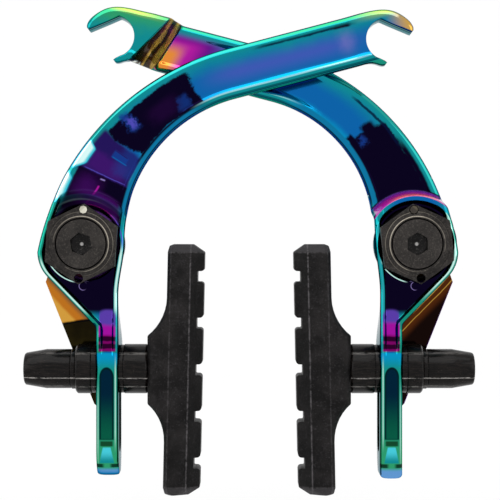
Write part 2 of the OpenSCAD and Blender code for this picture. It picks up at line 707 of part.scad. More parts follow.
left_arm();
left_pivot_bushing();
left_pivot_sleeve();
left_pivot_washer();
left_return_spring();
left_tension_nut();
left_mounting_bolt();
left_brake_pad();
left_pad_post();
left_pad_spacer();
left_inner_dome_washer();
left_outer_dome_washer();
left_cup_washer();
left_flat_washer();
left_pad_nut();
right_arm();
right_pivot_bushing();
right_pivot_sleeve();
right_pivot_washer();
right_return_spring();
right_tension_nut();
right_mounting_bolt();
right_brake_pad();
right_pad_post();
right_pad_spacer();
right_inner_dome_washer();
right_outer_dome_washer();
right_cup_washer();
right_flat_washer();
right_pad_nut();
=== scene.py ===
import json
import math

import bmesh
import bpy
import numpy as np
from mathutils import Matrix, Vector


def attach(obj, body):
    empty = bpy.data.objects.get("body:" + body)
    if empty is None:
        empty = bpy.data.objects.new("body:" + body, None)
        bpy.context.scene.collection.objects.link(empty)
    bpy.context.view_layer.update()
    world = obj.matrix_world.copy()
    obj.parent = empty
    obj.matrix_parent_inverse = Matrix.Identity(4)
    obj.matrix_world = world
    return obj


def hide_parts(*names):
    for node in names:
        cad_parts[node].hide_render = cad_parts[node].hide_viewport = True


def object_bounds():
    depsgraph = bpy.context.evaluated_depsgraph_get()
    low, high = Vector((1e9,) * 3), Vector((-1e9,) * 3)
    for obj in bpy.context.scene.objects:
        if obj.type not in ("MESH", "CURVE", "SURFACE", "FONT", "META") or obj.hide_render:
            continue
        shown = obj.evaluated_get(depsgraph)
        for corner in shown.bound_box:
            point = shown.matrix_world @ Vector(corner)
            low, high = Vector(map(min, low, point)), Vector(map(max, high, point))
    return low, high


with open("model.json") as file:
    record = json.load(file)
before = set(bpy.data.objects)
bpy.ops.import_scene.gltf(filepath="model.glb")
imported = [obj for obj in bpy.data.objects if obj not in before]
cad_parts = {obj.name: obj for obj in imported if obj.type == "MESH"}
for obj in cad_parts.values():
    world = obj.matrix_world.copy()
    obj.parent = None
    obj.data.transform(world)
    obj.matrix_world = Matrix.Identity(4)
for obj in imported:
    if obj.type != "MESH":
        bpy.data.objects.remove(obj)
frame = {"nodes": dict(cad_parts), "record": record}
cadBox = [list(corner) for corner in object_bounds()]
print("frame loaded:", len(frame["nodes"]), "nodes")

mm = 0.001
bossSpacing = 84
sides = {"left": -1, "right": 1}

# The arms' plan in mm about each pivot axis, x towards the wheel and z up. Both edges of the bow
# are circles that touch a rising line at the points named here.
arm = dict(rise=14.7, thick=8.6, frontY=-4.4, backY=5.0, rimY=-2, floorY=0.5, plateBack=13.4,
           plateX=(3.4, 9.0), bottom=-59, neck=-27.5, shoulder=-2, corner=9, funnel=46, waist=-13,
           rim=1.8, rimDrop=1.3, dish=0.35, backEdge=1.2, edgeRun=3.2, pocketRim=1.15,
           pocketRimDrop=0.9, pocketWall=0.55, ridgeR=12.1, ridgeRun=1.6, rampTop=-16.5, rampLow=-30.5,
           socketR=5.3, socketEdge=0.55, footRound=7, footRings=22, draft=0.085, tipRings=44)
# arch is the radius about the pivot where the pocket's upper end has its foot, and its run
plans = {
    "left": dict(outerAt=(36.8, 49.1), outerR=66.33, innerAt=(38.4, 36.4), innerR=37.32,
                 claw=(76.6, 51.4), arch=(10.6, 3.2), rear=False),
    "right": dict(outerAt=(35, 49.7), outerR=61.98, innerAt=(36.3, 36.6), innerR=34.77,
                  claw=(76.1, 52.1), arch=(10.25, 0.8), rear=True),
}
clawTop = [(-7, 6.4), (-3.9, 7.1), (-1, 7.4), (1.5, 7.05), (3.7, 6), (5.6, 4.5), (6.5, 3.1), (6.6, 2.2)]
clawUnder = {
    "left": [(-5.6, -6.4), (-4.6, -6.2), (-3.6, -6.15), (-2.7, -6.3), (-1.9, -6.55), (-1.2, -6.7),
             (-0.6, -6.6), (-0.2, -6.1)],
    "right": [(-3.3, -6.2), (-3, -6.25), (-2.7, -6.3), (-2.3, -6.4), (-1.9, -6.55), (-1.2, -6.7),
              (-0.6, -6.6), (-0.2, -6.1)],
}
# Straight part towards the claw: x of the outer edge, x of the inner edge, and the share of the
# rear arm's oblique step that its front and its back have made there
straight = {
    "left": [(44, 45, 0, 0), (51, 56, 0, 0), (56.4, 64.4, 0, 0), (62.2, 69.4, 0, 0), (65.6, 70.3, 0, 0)],
    "right": [(44, 45, 0, 0), (51, 54, 0, 0), (56, 62, 0, 0), (58.7, 66.05, 0, 0), (59.7, 68.1, 0.3, 0.04),
              (60.8, 70.3, 0.66, 0.25), (61.8, 72.3, 1, 0.55), (65.6, 72.6, 1, 0.85)],
}
stepFoot = ((58.7, 55.9), (66.05, 44.4))


def smooth(t):
    t = np.clip(t, 0, 1)
    return t * t * (3 - 2 * t)


def mix(a, b, t):
    return a + (b - a) * t


# A Catmull-Rom curve through the points, as n points
def curveThrough(points, n):
    p = np.asarray(points, float)
    p = np.vstack([2 * p[0] - p[1], p, 2 * p[-1] - p[-2]])
    u = np.linspace(0, len(p) - 3 - 1e-9, n)
    i = u.astype(int)
    t = (u - i)[:, None]
    a, b, c, d = p[i], p[i + 1], p[i + 2], p[i + 3]
    return 0.5 * (2 * b + (c - a) * t + (2 * a - 5 * b + 4 * c - d) * t ** 2
                  + (3 * b - a - 3 * c + d) * t ** 3)


# A closed skin over rings, given as an array of rings, points and x y z, with a fan at each end
def ringMesh(name, rings):
    k, m = rings.shape[:2]
    ring = np.arange(k - 1)[:, None] * m + np.arange(m)[None, :]
    turn = np.arange(k - 1)[:, None] * m + (np.arange(m)[None, :] + 1) % m
    quads = np.stack([ring, turn, turn + m, ring + m], -1).reshape(-1, 4)
    points = rings.reshape(-1, 3)
    ends = np.array([rings[0].mean(0), rings[-1].mean(0)])
    points = np.vstack([points, ends])
    j = np.arange(m)
    first = np.stack([np.full(m, k * m), (j + 1) % m, j], -1)
    far = (k - 1) * m
    last = np.stack([np.full(m, k * m + 1), far + j, far + (j + 1) % m], -1)
    mesh = bpy.data.meshes.new(name)
    mesh.from_pydata(points * mm, [], quads.tolist() + first.tolist() + last.tolist())
    mesh.update()
    piece = bpy.data.objects.new(name, mesh)
    bpy.context.scene.collection.objects.link(piece)
    outward(piece)
    return piece


# Merges doubles and turns the faces outwards
def outward(piece):
    work = bmesh.new()
    work.from_mesh(piece.data)
    bmesh.ops.remove_doubles(work, verts=work.verts, dist=1e-7)
    bmesh.ops.recalc_face_normals(work, faces=work.faces)
    work.to_mesh(piece.data)
    work.free()


# A turned solid: a profile of (radius, y) corners, each with its own rounding, swept about the
# pivot's axis. Rounded corners are arcs worked out from the corner's two neighbours.
def turned(name, profile, around=96):
    corners = np.array([p[:2] for p in profile], float)
    rounds = [p[2] if len(p) > 2 else 0 for p in profile]
    path = []
    for i, (p, r) in enumerate(zip(corners, rounds)):
        if r == 0 or i in (0, len(corners) - 1):
            path.append(p)
            continue
        a, b = corners[i - 1] - p, corners[i + 1] - p
        a, b = a / np.linalg.norm(a), b / np.linalg.norm(b)
        half = math.acos(np.clip(a @ b, -1, 1)) / 2
        reach = r / math.tan(half)
        mid = p + (a + b) / np.linalg.norm(a + b) * r / math.sin(half)
        start, stop = p + a * reach - mid, p + b * reach - mid
        sweep = math.pi - 2 * half
        for t in np.linspace(0, 1, 5):
            arc = math.sin((1 - t) * sweep) * start + math.sin(t * sweep) * stop
            path.append(mid + arc / math.sin(sweep))
    path = np.array(path)
    angle = np.linspace(0, 2 * np.pi, around, endpoint=False)
    radius, place = path[:, 0][:, None], path[:, 1][:, None] * np.ones(around)
    return ringMesh(name, np.stack([radius * np.cos(angle), place, radius * np.sin(angle)], -1))


# Puts the result of the modifiers into the piece's own mesh
def freeze(piece):
    graph = bpy.context.evaluated_depsgraph_get()
    mesh = bpy.data.meshes.new_from_object(piece.evaluated_get(graph))
    piece.modifiers.clear()
    piece.data = mesh


def combine(piece, tool, operation):
    step = piece.modifiers.new("combine", "BOOLEAN")
    step.operation, step.solver, step.object = operation, "EXACT", tool
    freeze(piece)
    bpy.data.objects.remove(tool)


# Several cutting tools in one mesh
def joined(tools):
    work = bmesh.new()
    for tool in tools:
        work.from_mesh(tool.data)
    work.to_mesh(tools[0].data)
    work.free()
    for tool in tools[1:]:
        bpy.data.objects.remove(tool)
    return tools[0]


# A prism on an outline in x and z. Near each face the outline grows by a quarter circle, so that
# what it cuts gets rounded edges.
def flared(name, outline, y0, y1, edge):
    p = np.asarray(outline, float)
    along = np.roll(p, -1, 0) - np.roll(p, 1, 0)
    along /= np.linalg.norm(along, axis=1)[:, None]
    out = np.stack([along[:, 1], -along[:, 0]], -1)
    a = np.linspace(0, np.pi / 2, 6)
    front = [(y0 - 1, edge)] + [(y0 + edge * (1 - np.cos(t)), edge * (1 - np.sin(t))) for t in a]
    back = [(y1 - edge * (1 - np.cos(t)), edge * (1 - np.sin(t))) for t in a[::-1]] + [(y1 + 1, edge)]
    rings = [np.insert(p + out * grow, 1, y, axis=1) for y, grow in front + back]
    return ringMesh(name, np.array(rings))


# Widths at which the arm's section is sampled, from its edge to its middle
edgeSteps = np.concatenate([1 - np.cos(np.linspace(0, np.pi / 2, 9)[:-1]),
                            np.linspace(1, arm["edgeRun"], 15)])


class ArmPlan:
    def __init__(self, side):
        plan = plans[side]
        self.side = side
        rise = math.radians(arm["rise"])
        self.along = np.array([math.cos(rise), math.sin(rise)])
        self.up = np.array([-math.sin(rise), math.cos(rise)])
        self.outerAt, self.innerAt = np.array(plan["outerAt"]), np.array(plan["innerAt"])
        self.outerR, self.innerR = plan["outerR"], plan["innerR"]
        self.outerC = self.outerAt - self.up * self.outerR
        self.innerC = self.innerAt - self.up * self.innerR
        self.claw, self.arch, self.rear = np.array(plan["claw"]), plan["arch"], plan["rear"]
        self.shoulderX = self.outerC[0] - math.sqrt(
            self.outerR ** 2 - (arm["shoulder"] - self.outerC[1]) ** 2)
        self.cornerC = np.array([self.shoulderX + arm["corner"], arm["shoulder"]])
        slope = math.radians(arm["funnel"])
        self.funnelDir = np.array([math.cos(slope), -math.sin(slope)])
        self.funnelOut = -np.array([math.sin(slope), math.cos(slope)])
        self.foot = self.cornerC + arm["corner"] * self.funnelOut

    # x of the inner edge below the bow
    def innerX(self, z):
        low, high = arm["waist"], self.innerC[1]
        return mix(arm["plateX"][1], self.innerC[0] - self.innerR, smooth((z - low) / (high - low)))

    # Pairs of an outer and an inner point from the plate's lower end to the claw's tip, with the
    # arm's front and back there and the share of the step made
    def stations(self):
        a = arm
        low = a["bottom"] + a["footRound"] * (1 - np.cos(np.linspace(0, np.pi / 2, a["footRings"])))
        z = np.concatenate([low, np.linspace(a["bottom"] + a["footRound"] + 0.6, a["neck"], 30)])
        corner = np.clip(1 - (z - a["bottom"]), 0, 1)
        inset = 1 - np.sqrt(1 - corner ** 2)
        plateOut = np.stack([a["plateX"][0] + inset, z], -1)
        plateIn = np.stack([a["plateX"][1] - inset, z], -1)
        slope = math.tan(math.radians(a["funnel"]))
        topZ = self.foot[1] - (a["plateX"][0] - self.foot[0]) * slope
        stem = np.linspace(a["neck"], topZ, 12)[1:]
        stemOut = np.stack([np.full(len(stem), a["plateX"][0]), stem], -1)
        line = mix(np.array([a["plateX"][0], topZ]), self.foot, np.linspace(0, 1, 34)[1:, None])
        angle = np.radians(np.linspace(a["funnel"], 0, 20)[1:])
        knee = self.cornerC - a["corner"] * np.stack([np.cos(angle), np.sin(angle)], -1)
        lowerOut = np.vstack([stemOut, line, knee])
        flat = np.vstack([lowerOut[0], lowerOut[0], lowerOut, lowerOut[-1], lowerOut[-1]])
        soft = (flat[:-4] + 4 * flat[1:-3] + 6 * flat[2:-2] + 4 * flat[3:-1] + flat[4:]) / 16
        soft[-1] = lowerOut[-1]
        drop = smooth((lowerOut[:, 1] - a["neck"]) / 20)
        innerZ = mix(lowerOut[:, 1], 0.72 * lowerOut[:, 1] - 0.2, drop)
        lowerIn = np.stack([self.innerX(innerZ), innerZ], -1)
        t = np.concatenate([np.linspace(0, 0.3, 170)[1:], np.linspace(0.3, 1, 90)[1:]])
        start = 180 - math.degrees(math.asin((a["shoulder"] - self.outerC[1]) / self.outerR))
        oa, ia = np.radians(mix(start, 90 + a["rise"], t)), np.radians(mix(180, 90 + a["rise"], t))
        bowOut = self.outerC + self.outerR * np.stack([np.cos(oa), np.sin(oa)], -1)
        bowIn = self.innerC + self.innerR * np.stack([np.cos(ia), np.sin(ia)], -1)
        row = curveThrough(straight[self.side], 70)
        tan = math.tan(math.radians(a["rise"]))
        runOut = np.stack([row[:, 0], self.outerAt[1] + (row[:, 0] - self.outerAt[0]) * tan], -1)
        runIn = np.stack([row[:, 1], self.innerAt[1] + (row[:, 1] - self.innerAt[0]) * tan], -1)
        tips = a["tipRings"]
        tipOut = self.claw + curveThrough(clawTop, tips)
        tipIn = self.claw + curveThrough(clawUnder[self.side], tips)
        outer = np.vstack([plateOut, soft, bowOut, runOut, tipOut])
        inner = np.vstack([plateIn, lowerIn, bowIn, runIn, tipIn])
        share = np.zeros((len(outer), 2))
        share[-len(row) - tips:-tips] = np.clip(row[:, 2:], 0, 1)
        share[-tips:] = 1
        return outer, inner, share, len(plateOut)


# The arm's blank as one lofted skin. Each ring runs over the front from the outer rim to the inner
# one and back behind. The front's height is the rim's quarter round, a shallow dish, the pocket with
# its sloping wall and ramp, and on the rear arm the arched ridge above the pocket.
def armBlank(name, side):
    a, p = arm, ArmPlan(side)
    outer, inner, share, plateCount = p.stations()
    n = len(outer)
    z = (outer[:, 1] + inner[:, 1]) / 2
    width = np.linalg.norm(inner - outer, axis=1)
    cross = (inner - outer) / width[:, None]
    face = a["backY"] if p.rear else a["frontY"]
    jog = (a["frontY"] - a["backY"]) if p.rear else 0
    index = np.arange(n)
    endRings = a["footRings"]
    fromEnd = a["footRound"] * (1 - np.sin(np.linspace(0, np.pi / 2, endRings)))
    lowBack = mix(a["plateBack"], 9, smooth((z + 16) / 9))
    backBase = mix(lowBack, face + a["thick"], smooth((z - 5) / 11)) + jog * share[:, 1]
    frontBase = mix(a["rimY"], a["frontY"], smooth((z - 7) / 9)) if not p.rear else np.full(n, a["rimY"])
    onPlate = index < plateCount
    frontBase = np.where(onPlate, a["rimY"], frontBase)
    backBase = np.where(onPlate, a["plateBack"], backBase)
    frontBase[:endRings] = a["rimY"] + fromEnd
    backBase[:endRings] = a["plateBack"] - fromEnd
    scale = np.minimum(1, width / 2 / a["edgeRun"])[:, None]
    steps = edgeSteps[None, :] * scale
    middle = np.linspace(0, 1, 25)[None, 1:]
    core = steps[:, -1:] + (width[:, None] / 2 - steps[:, -1:]) * middle
    half = np.hstack([steps, core])
    s = np.hstack([half, width[:, None] - half[:, -2::-1]])
    e = np.minimum(s, width[:, None] - s)
    point = outer[:, None, :] + cross[:, None, :] * s[:, :, None]
    px, pz = point[..., 0], point[..., 1]
    far = np.hypot(px, pz)
    front = frontBase[:, None] * np.ones_like(s)
    if p.rear:
        ridge = smooth((a["ridgeR"] + a["ridgeRun"] - far) / a["ridgeRun"])
        ridge = np.where(pz < 2, 1, ridge)
        front = mix(a["backY"], a["rimY"], ridge)
        front = front + jog * share[:, :1]
    room = (backBase[:, None] - front)
    drop = np.minimum(a["rimDrop"], 0.45 * room)
    archFoot, archRun = p.arch
    pocket = np.where(pz > 0, smooth((archFoot + archRun - far) / archRun), 1)
    pocket = pocket * smooth((pz - a["rampLow"]) / (a["rampTop"] - a["rampLow"]))
    rimW = mix(a["rim"], a["pocketRim"], smooth(pocket * 3))
    rimW = np.minimum(rimW, width[:, None] * 0.45)
    over = np.clip(1 - e / rimW, 0, 1)
    rimDrop = mix(drop, a["pocketRimDrop"], smooth(pocket * 3) * (drop > 1.2))
    front = front + rimDrop * (1 - np.sqrt(1 - over ** 2))
    dished = np.where(onPlate[:, None], 0, a["dish"])
    front = front + dished * smooth((e - a["rim"]) / 1.4) * (1 - smooth(pocket * 3))
    depth = (a["floorY"] - a["rimY"])
    front = front + pocket * depth * smooth((e - a["pocketRim"]) / a["pocketWall"])
    k = np.radians(np.linspace(0, 90, 5))
    edge = np.minimum(a["backEdge"], 0.45 * room[:, :1])
    backRound = edge * (1 - np.sin(k))
    backIn = edge * (1 - np.cos(k))
    # outer side, back and inner side of each ring, from the inner edge round to the outer one
    sInner = width[:, None] - backIn
    yInner = backBase[:, None] - backRound
    sBack = np.hstack([sInner, backIn[:, ::-1]])
    yBack = np.hstack([yInner, backBase[:, None] - backRound[:, ::-1]])
    sBack[:, :5] -= np.where(onPlate, 0.5, 0)[:, None]
    wall = np.linspace(0, 1, 5)[None, 1:-1]
    sideIn = front[:, -1:] + (yBack[:, :1] - front[:, -1:]) * wall
    sideOut = yBack[:, -1:] + (front[:, :1] - yBack[:, -1:]) * wall
    # the inner side wall leans in towards the back as a forging's does, but not on the plate
    draft = np.where(onPlate, 0, a["draft"] * smooth((z + 27) / 12))
    lean = draft[:, None] * (yBack[:, :1] - front[:, -1:])
    sBack[:, :5] -= lean
    sRing = np.hstack([s, width[:, None] - lean * wall, sBack, np.zeros_like(sideOut)])
    yRing = np.hstack([front, sideIn, yBack, sideOut])
    at = outer[:, None, :] + cross[:, None, :] * sRing[:, :, None]
    rings = np.stack([at[..., 0], yRing, at[..., 1]], -1)
    return ringMesh(name, rings), p


# How far along the arm and how far from its two edges a point lies, in mm, worked out from the
# circles and lines of its plan
def armCoordinates(p, points):
    q = np.stack([points[:, 0], points[:, 2]], -1)
    onRun = (q - p.outerC) @ p.along > 0
    outer = np.where(onRun, (p.outerAt - q) @ p.up, p.outerR - np.linalg.norm(q - p.outerC, axis=1))
    onRunIn = (q - p.innerC) @ p.along > 0
    inner = np.where(onRunIn, (q - p.innerAt) @ p.up, np.linalg.norm(q - p.innerC, axis=1) - p.innerR)
    below = q[:, 1] < arm["shoulder"]
    reach = (q - p.foot) @ p.funnelDir
    knee = arm["corner"] - np.linalg.norm(q - p.cornerC, axis=1)
    slant = (p.foot - q) @ p.funnelOut
    lowOut = np.where(reach > 0, slant, knee)
    stem = q[:, 0] - arm["plateX"][0]
    lowOut = np.where(q[:, 1] < -20, stem, np.maximum(lowOut, 0))
    outer = np.where(below, lowOut, outer)
    inner = np.where(q[:, 1] < p.innerC[1], p.innerX(q[:, 1]) - q[:, 0], inner)
    midR = (p.outerR + p.innerR) / 2
    turn = np.arctan2(q[:, 1] - p.innerC[1], p.innerC[0] - q[:, 0])
    bow = np.clip(turn, 0, math.radians(90 - arm["rise"])) * midR
    run = np.maximum((q - p.innerC) @ p.along, 0)
    along = np.where(q[:, 1] < p.innerC[1], q[:, 1], bow + run)
    return along, outer, inner


def socketOutline(p):
    r = arm["socketR"]
    arc = np.radians(np.linspace(108, 240, 60))
    points = [(9, -7), (9, 1.2), (7.4, 1.5), (6, 1.85), (3.6, 2.85), (1.2, 3.85), (-1.3, 4.95)]
    points += list(zip(r * np.cos(arc), r * np.sin(arc)))
    points += [(-1.6, -5.0), (-0.6, -5.5), (0.6, -6.4), (3, -6.6), (6, -6.8)]
    return p.claw + np.array(points)


# Two half circles of radius r about a middle y, with their tops at z1 and z0
def stadium(y, z0, z1, r, n=24):
    a = np.radians(np.linspace(0, 180, n))
    top = np.stack([y + r * np.cos(a), z1 - r + r * np.sin(a)], -1)
    low = np.stack([y - r * np.cos(a), z0 + r - r * np.sin(a)], -1)
    return np.vstack([top, low])


# Profiles of (radius, y) about the pivot, and fall as the share of x and z that counts down the web
barrel = dict(outside=[(0, 0.65), (10.6, 0.65), (10.15, 8.2), (9.1, 15, 0.6), (0, 15)],
              bore=[(0, -6), (9.7, -6), (9.7, 8.2), (7, 8.2), (7, 16), (0, 16)])
web = dict(outline=[(-9, -4.5), (-10.9, -9.8), (1.7, -41.4), (4.4, -44), (4.4, -8)], y=(11.4, 13.4),
           fall=(0.719, 0.695), start=12.1)
postSlot = dict(y=4.6, z=(-53, -27), r=3.3, x=(2.5, 9.9))
# How far below the pivot the nut's lower hole lies
nutHole = 10.6


def makeArm(side):
    name = side + "ArmFinished"
    piece, p = armBlank(name, side)
    sheet = ringMesh("web", np.array([[(x, y, z) for x, z in web["outline"]] for y in web["y"]], float))
    body = turned("barrel", barrel["outside"])
    combine(body, sheet, "UNION")
    combine(piece, body, "UNION")
    bore = turned("bore", barrel["bore"])
    socket = flared("socket", socketOutline(p), arm["frontY"], arm["frontY"] + arm["thick"],
                    arm["socketEdge"])
    outline = stadium(postSlot["y"], *postSlot["z"], postSlot["r"])
    slot = ringMesh("slot", np.array([[(x, y, z) for y, z in outline] for x in postSlot["x"]], float))
    combine(piece, joined([bore, socket, slot]), "DIFFERENCE")
    points = np.empty(len(piece.data.vertices) * 3)
    piece.data.vertices.foreach_get("co", points)
    points = points.reshape(-1, 3) / mm
    foot, head = np.array(stepFoot)
    way = (head - foot) / np.linalg.norm(head - foot)
    before = (foot[0] - points[:, 0]) * -way[1] + (foot[1] - points[:, 2]) * way[0]
    fields = zip(("along", "outer", "inner", "before"), (*armCoordinates(p, points), before))
    for label, values in fields:
        layer = piece.data.attributes.new(label, "FLOAT", "POINT")
        layer.data.foreach_set("value", values)
    s = sides[side]
    points[:, 0] = s * (bossSpacing / 2 - points[:, 0])
    piece.data.vertices.foreach_set("co", (points * mm).ravel())
    if s > 0:
        piece.data.flip_normals()
    piece.data.update()
    piece.data.shade_smooth()
    piece.data.set_sharp_from_angle(angle=math.radians(38))
    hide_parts(side + "_arm")
    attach(piece, side + "_lever")
    return piece


arms = {side: makeArm(side) for side in sides}
print("arms made:", [len(o.data.polygons) for o in arms.values()])


# One shader socket, with operators that add the nodes
class Value:
    def __init__(self, tree, socket):
        self.tree, self.socket = tree, socket

    def math(self, operation, *others):
        return self.tree.node("ShaderNodeMath", {"operation": operation}, [self, *others])

    def __add__(self, other):
        return self.math("ADD", other)

    def __mul__(self, other):
        return self.math("MULTIPLY", other)

    def __sub__(self, other):
        return self.math("SUBTRACT", other)

    def __rsub__(self, other):
        return (self * -1).math("ADD", other)

    def __truediv__(self, other):
        return self.math("DIVIDE", other)

    __radd__, __rmul__ = __add__, __mul__

    def max(self, other):
        return self.math("MAXIMUM", other)

    def min(self, other):
        return self.math("MINIMUM", other)

    def abs(self):
        return self.math("ABSOLUTE")

    # 0 below low, 1 above high, smooth between
    def rise(self, low, high):
        return self.tree.node("ShaderNodeMapRange", {"interpolation_type": "SMOOTHSTEP"},
                              {"Value": self, "From Min": low, "From Max": high})

    # 1 below low, 0 above high, smooth between
    def fall(self, low, high):
        return 1 - self.rise(low, high)

    # 1 between low and high, with soft ends
    def band(self, low, high, soft):
        return self.rise(low - soft, low + soft) * self.fall(high - soft, high + soft)

    # Lays a hue over this colour, as far as the mask goes from 0 to 1
    def paint(self, mask, hue):
        self.socket = self.tree.blend(mask, self, hue).socket


# A node tree, and the ways in which nodes are made for it
class Nodes:
    def __init__(self, tree):
        self.nodes, self.links = tree.nodes, tree.links
        self.nodes.clear()

    def put(self, socket, value):
        if isinstance(value, Value):
            self.links.new(value.socket, socket)
        elif isinstance(value, (tuple, list)) and len(value) == 3 and len(socket.default_value) == 4:
            socket.default_value = (*value, 1)
        else:
            socket.default_value = value

    def node(self, kind, settings=None, values=None, output=0):
        made = self.nodes.new(kind)
        for key, value in (settings or {}).items():
            if key == "stops":
                while len(made.color_ramp.elements) < len(value):
                    made.color_ramp.elements.new(0.5)
                for element, (place, colour) in zip(made.color_ramp.elements, value):
                    element.position, element.color = place, (*colour, 1)
            else:
                setattr(made, key, value)
        pairs = values.items() if isinstance(values, dict) else enumerate(values or [])
        for key, value in pairs:
            self.put(made.inputs[key], value)
        return Value(self, made.outputs[output])

    def attribute(self, name):
        return self.node("ShaderNodeAttribute", {"attribute_name": name}, None, "Fac")

    # The colours can be values, numbers or names
    def blend(self, factor, a, b):
        a, b = [rainbowAndReflections[c] if isinstance(c, str) else c for c in (a, b)]
        return self.node("ShaderNodeMix", {"data_type": "RGBA", "clamp_factor": True},
                         {0: factor, 6: a, 7: b}, 2)

    def place(self):
        where = self.nodes.new("ShaderNodeTexCoord")
        return Value(self, where.outputs["Object"])

    def split(self, vector):
        parts = self.nodes.new("ShaderNodeSeparateXYZ")
        self.links.new(vector.socket, parts.inputs[0])
        return [Value(self, parts.outputs[i]) for i in range(3)]

    # x, y and z of the surface in mm
    def places(self):
        return [v / mm for v in self.split(self.place())]

    def point(self, x, y, z=0):
        return self.node("ShaderNodeCombineXYZ", None, [x, y, z])

    def length(self, x, y):
        return self.node("ShaderNodeVectorMath", {"operation": "LENGTH"}, [self.point(x, y)], "Value")

    def noise(self, scale, detail=3, roughness=0.5, where=None):
        return self.node("ShaderNodeTexNoise", None, {"Vector": where or self.place(), "Scale": scale,
                                                      "Detail": detail, "Roughness": roughness})

    def bump(self, height, distance, strength=1):
        return self.node("ShaderNodeBump", None, {"Height": height, "Distance": distance,
                                                  "Strength": strength})

    # 1 for the rays that show a thing, 0 for those that only light by it
    def shown(self):
        path = self.nodes.new("ShaderNodeLightPath")
        kinds = [Value(self, path.outputs[kind]) for kind in ("Is Camera Ray", "Is Glossy Ray",
                                                              "Is Transmission Ray")]
        return kinds[0].max(kinds[1]).max(kinds[2])


# One material with its Principled shader
class Finish(Nodes):
    def __init__(self, name):
        self.material = bpy.data.materials.new(name)
        self.material.use_nodes = True
        Nodes.__init__(self, self.material.node_tree)
        self.shader = self.nodes.new("ShaderNodeBsdfPrincipled")
        out = self.nodes.new("ShaderNodeOutputMaterial")
        self.links.new(self.shader.outputs[0], out.inputs[0])

    def shade(self, **values):
        for key, value in values.items():
            self.put(self.shader.inputs[key.replace("_", " ")], value)
        return self.material


# Colours are written as they show on a screen, 0 to 255, and turned to linear here
def tone(r, g, b):
    c = np.array([r, g, b]) / 255
    return tuple(float(v) for v in np.where(c <= 0.04045, c / 12.92, ((c + 0.055) / 1.055) ** 2.4))


# The arms' rainbow finish, and the hues of the reflections, highlights and shade painted over it
rainbowAndReflections = dict(teal=tone(18, 138, 144), cyan=tone(70, 200, 216), pale=tone(216, 250, 247),
           blue=tone(14, 98, 168), deepBlue=tone(22, 58, 138), violet=tone(86, 78, 188),
           night=tone(11, 5, 30), plum=tone(30, 8, 50), purple=tone(92, 22, 132),
           magenta=tone(176, 28, 158), pink=tone(226, 96, 120), orange=tone(226, 138, 56),
           green=tone(46, 154, 106), lime=tone(156, 192, 84), gold=tone(204, 160, 66),
           brown=tone(74, 40, 14), ink=tone(8, 8, 10), sea=tone(26, 140, 120),
           deepSea=tone(4, 62, 74), lilac=tone(150, 132, 198), indigo=tone(36, 22, 88),
           bone=tone(236, 232, 220), olive=tone(40, 34, 12), sky=tone(8, 146, 192),
           mint=tone(196, 240, 230), navy=tone(8, 18, 52))
# Hues of the reflections painted on the ramp, on the plate's bars and on the web
plateTones = dict(rampDark=tone(44, 2, 40), rampLow=tone(120, 8, 96), rampTop=tone(160, 18, 156),
                  insetLine=tone(4, 30, 34), insetLow=tone(10, 88, 66), insetTop=tone(3, 34, 54),
                  ledge=tone(20, 70, 44), footLine=tone(10, 26, 20), foot=tone(96, 150, 206))
webTones = dict(brown=tone(74, 36, 14), dark=tone(20, 10, 8), grey=tone(104, 78, 52),
                orange=tone(186, 112, 32), bright=tone(208, 154, 62), low=tone(22, 18, 8))


# The colour part of the way from one to another
def partWay(a, b, t):
    return tuple(float(v) for v in mix(np.array(rainbowAndReflections[a]), np.array(rainbowAndReflections[b]), t))
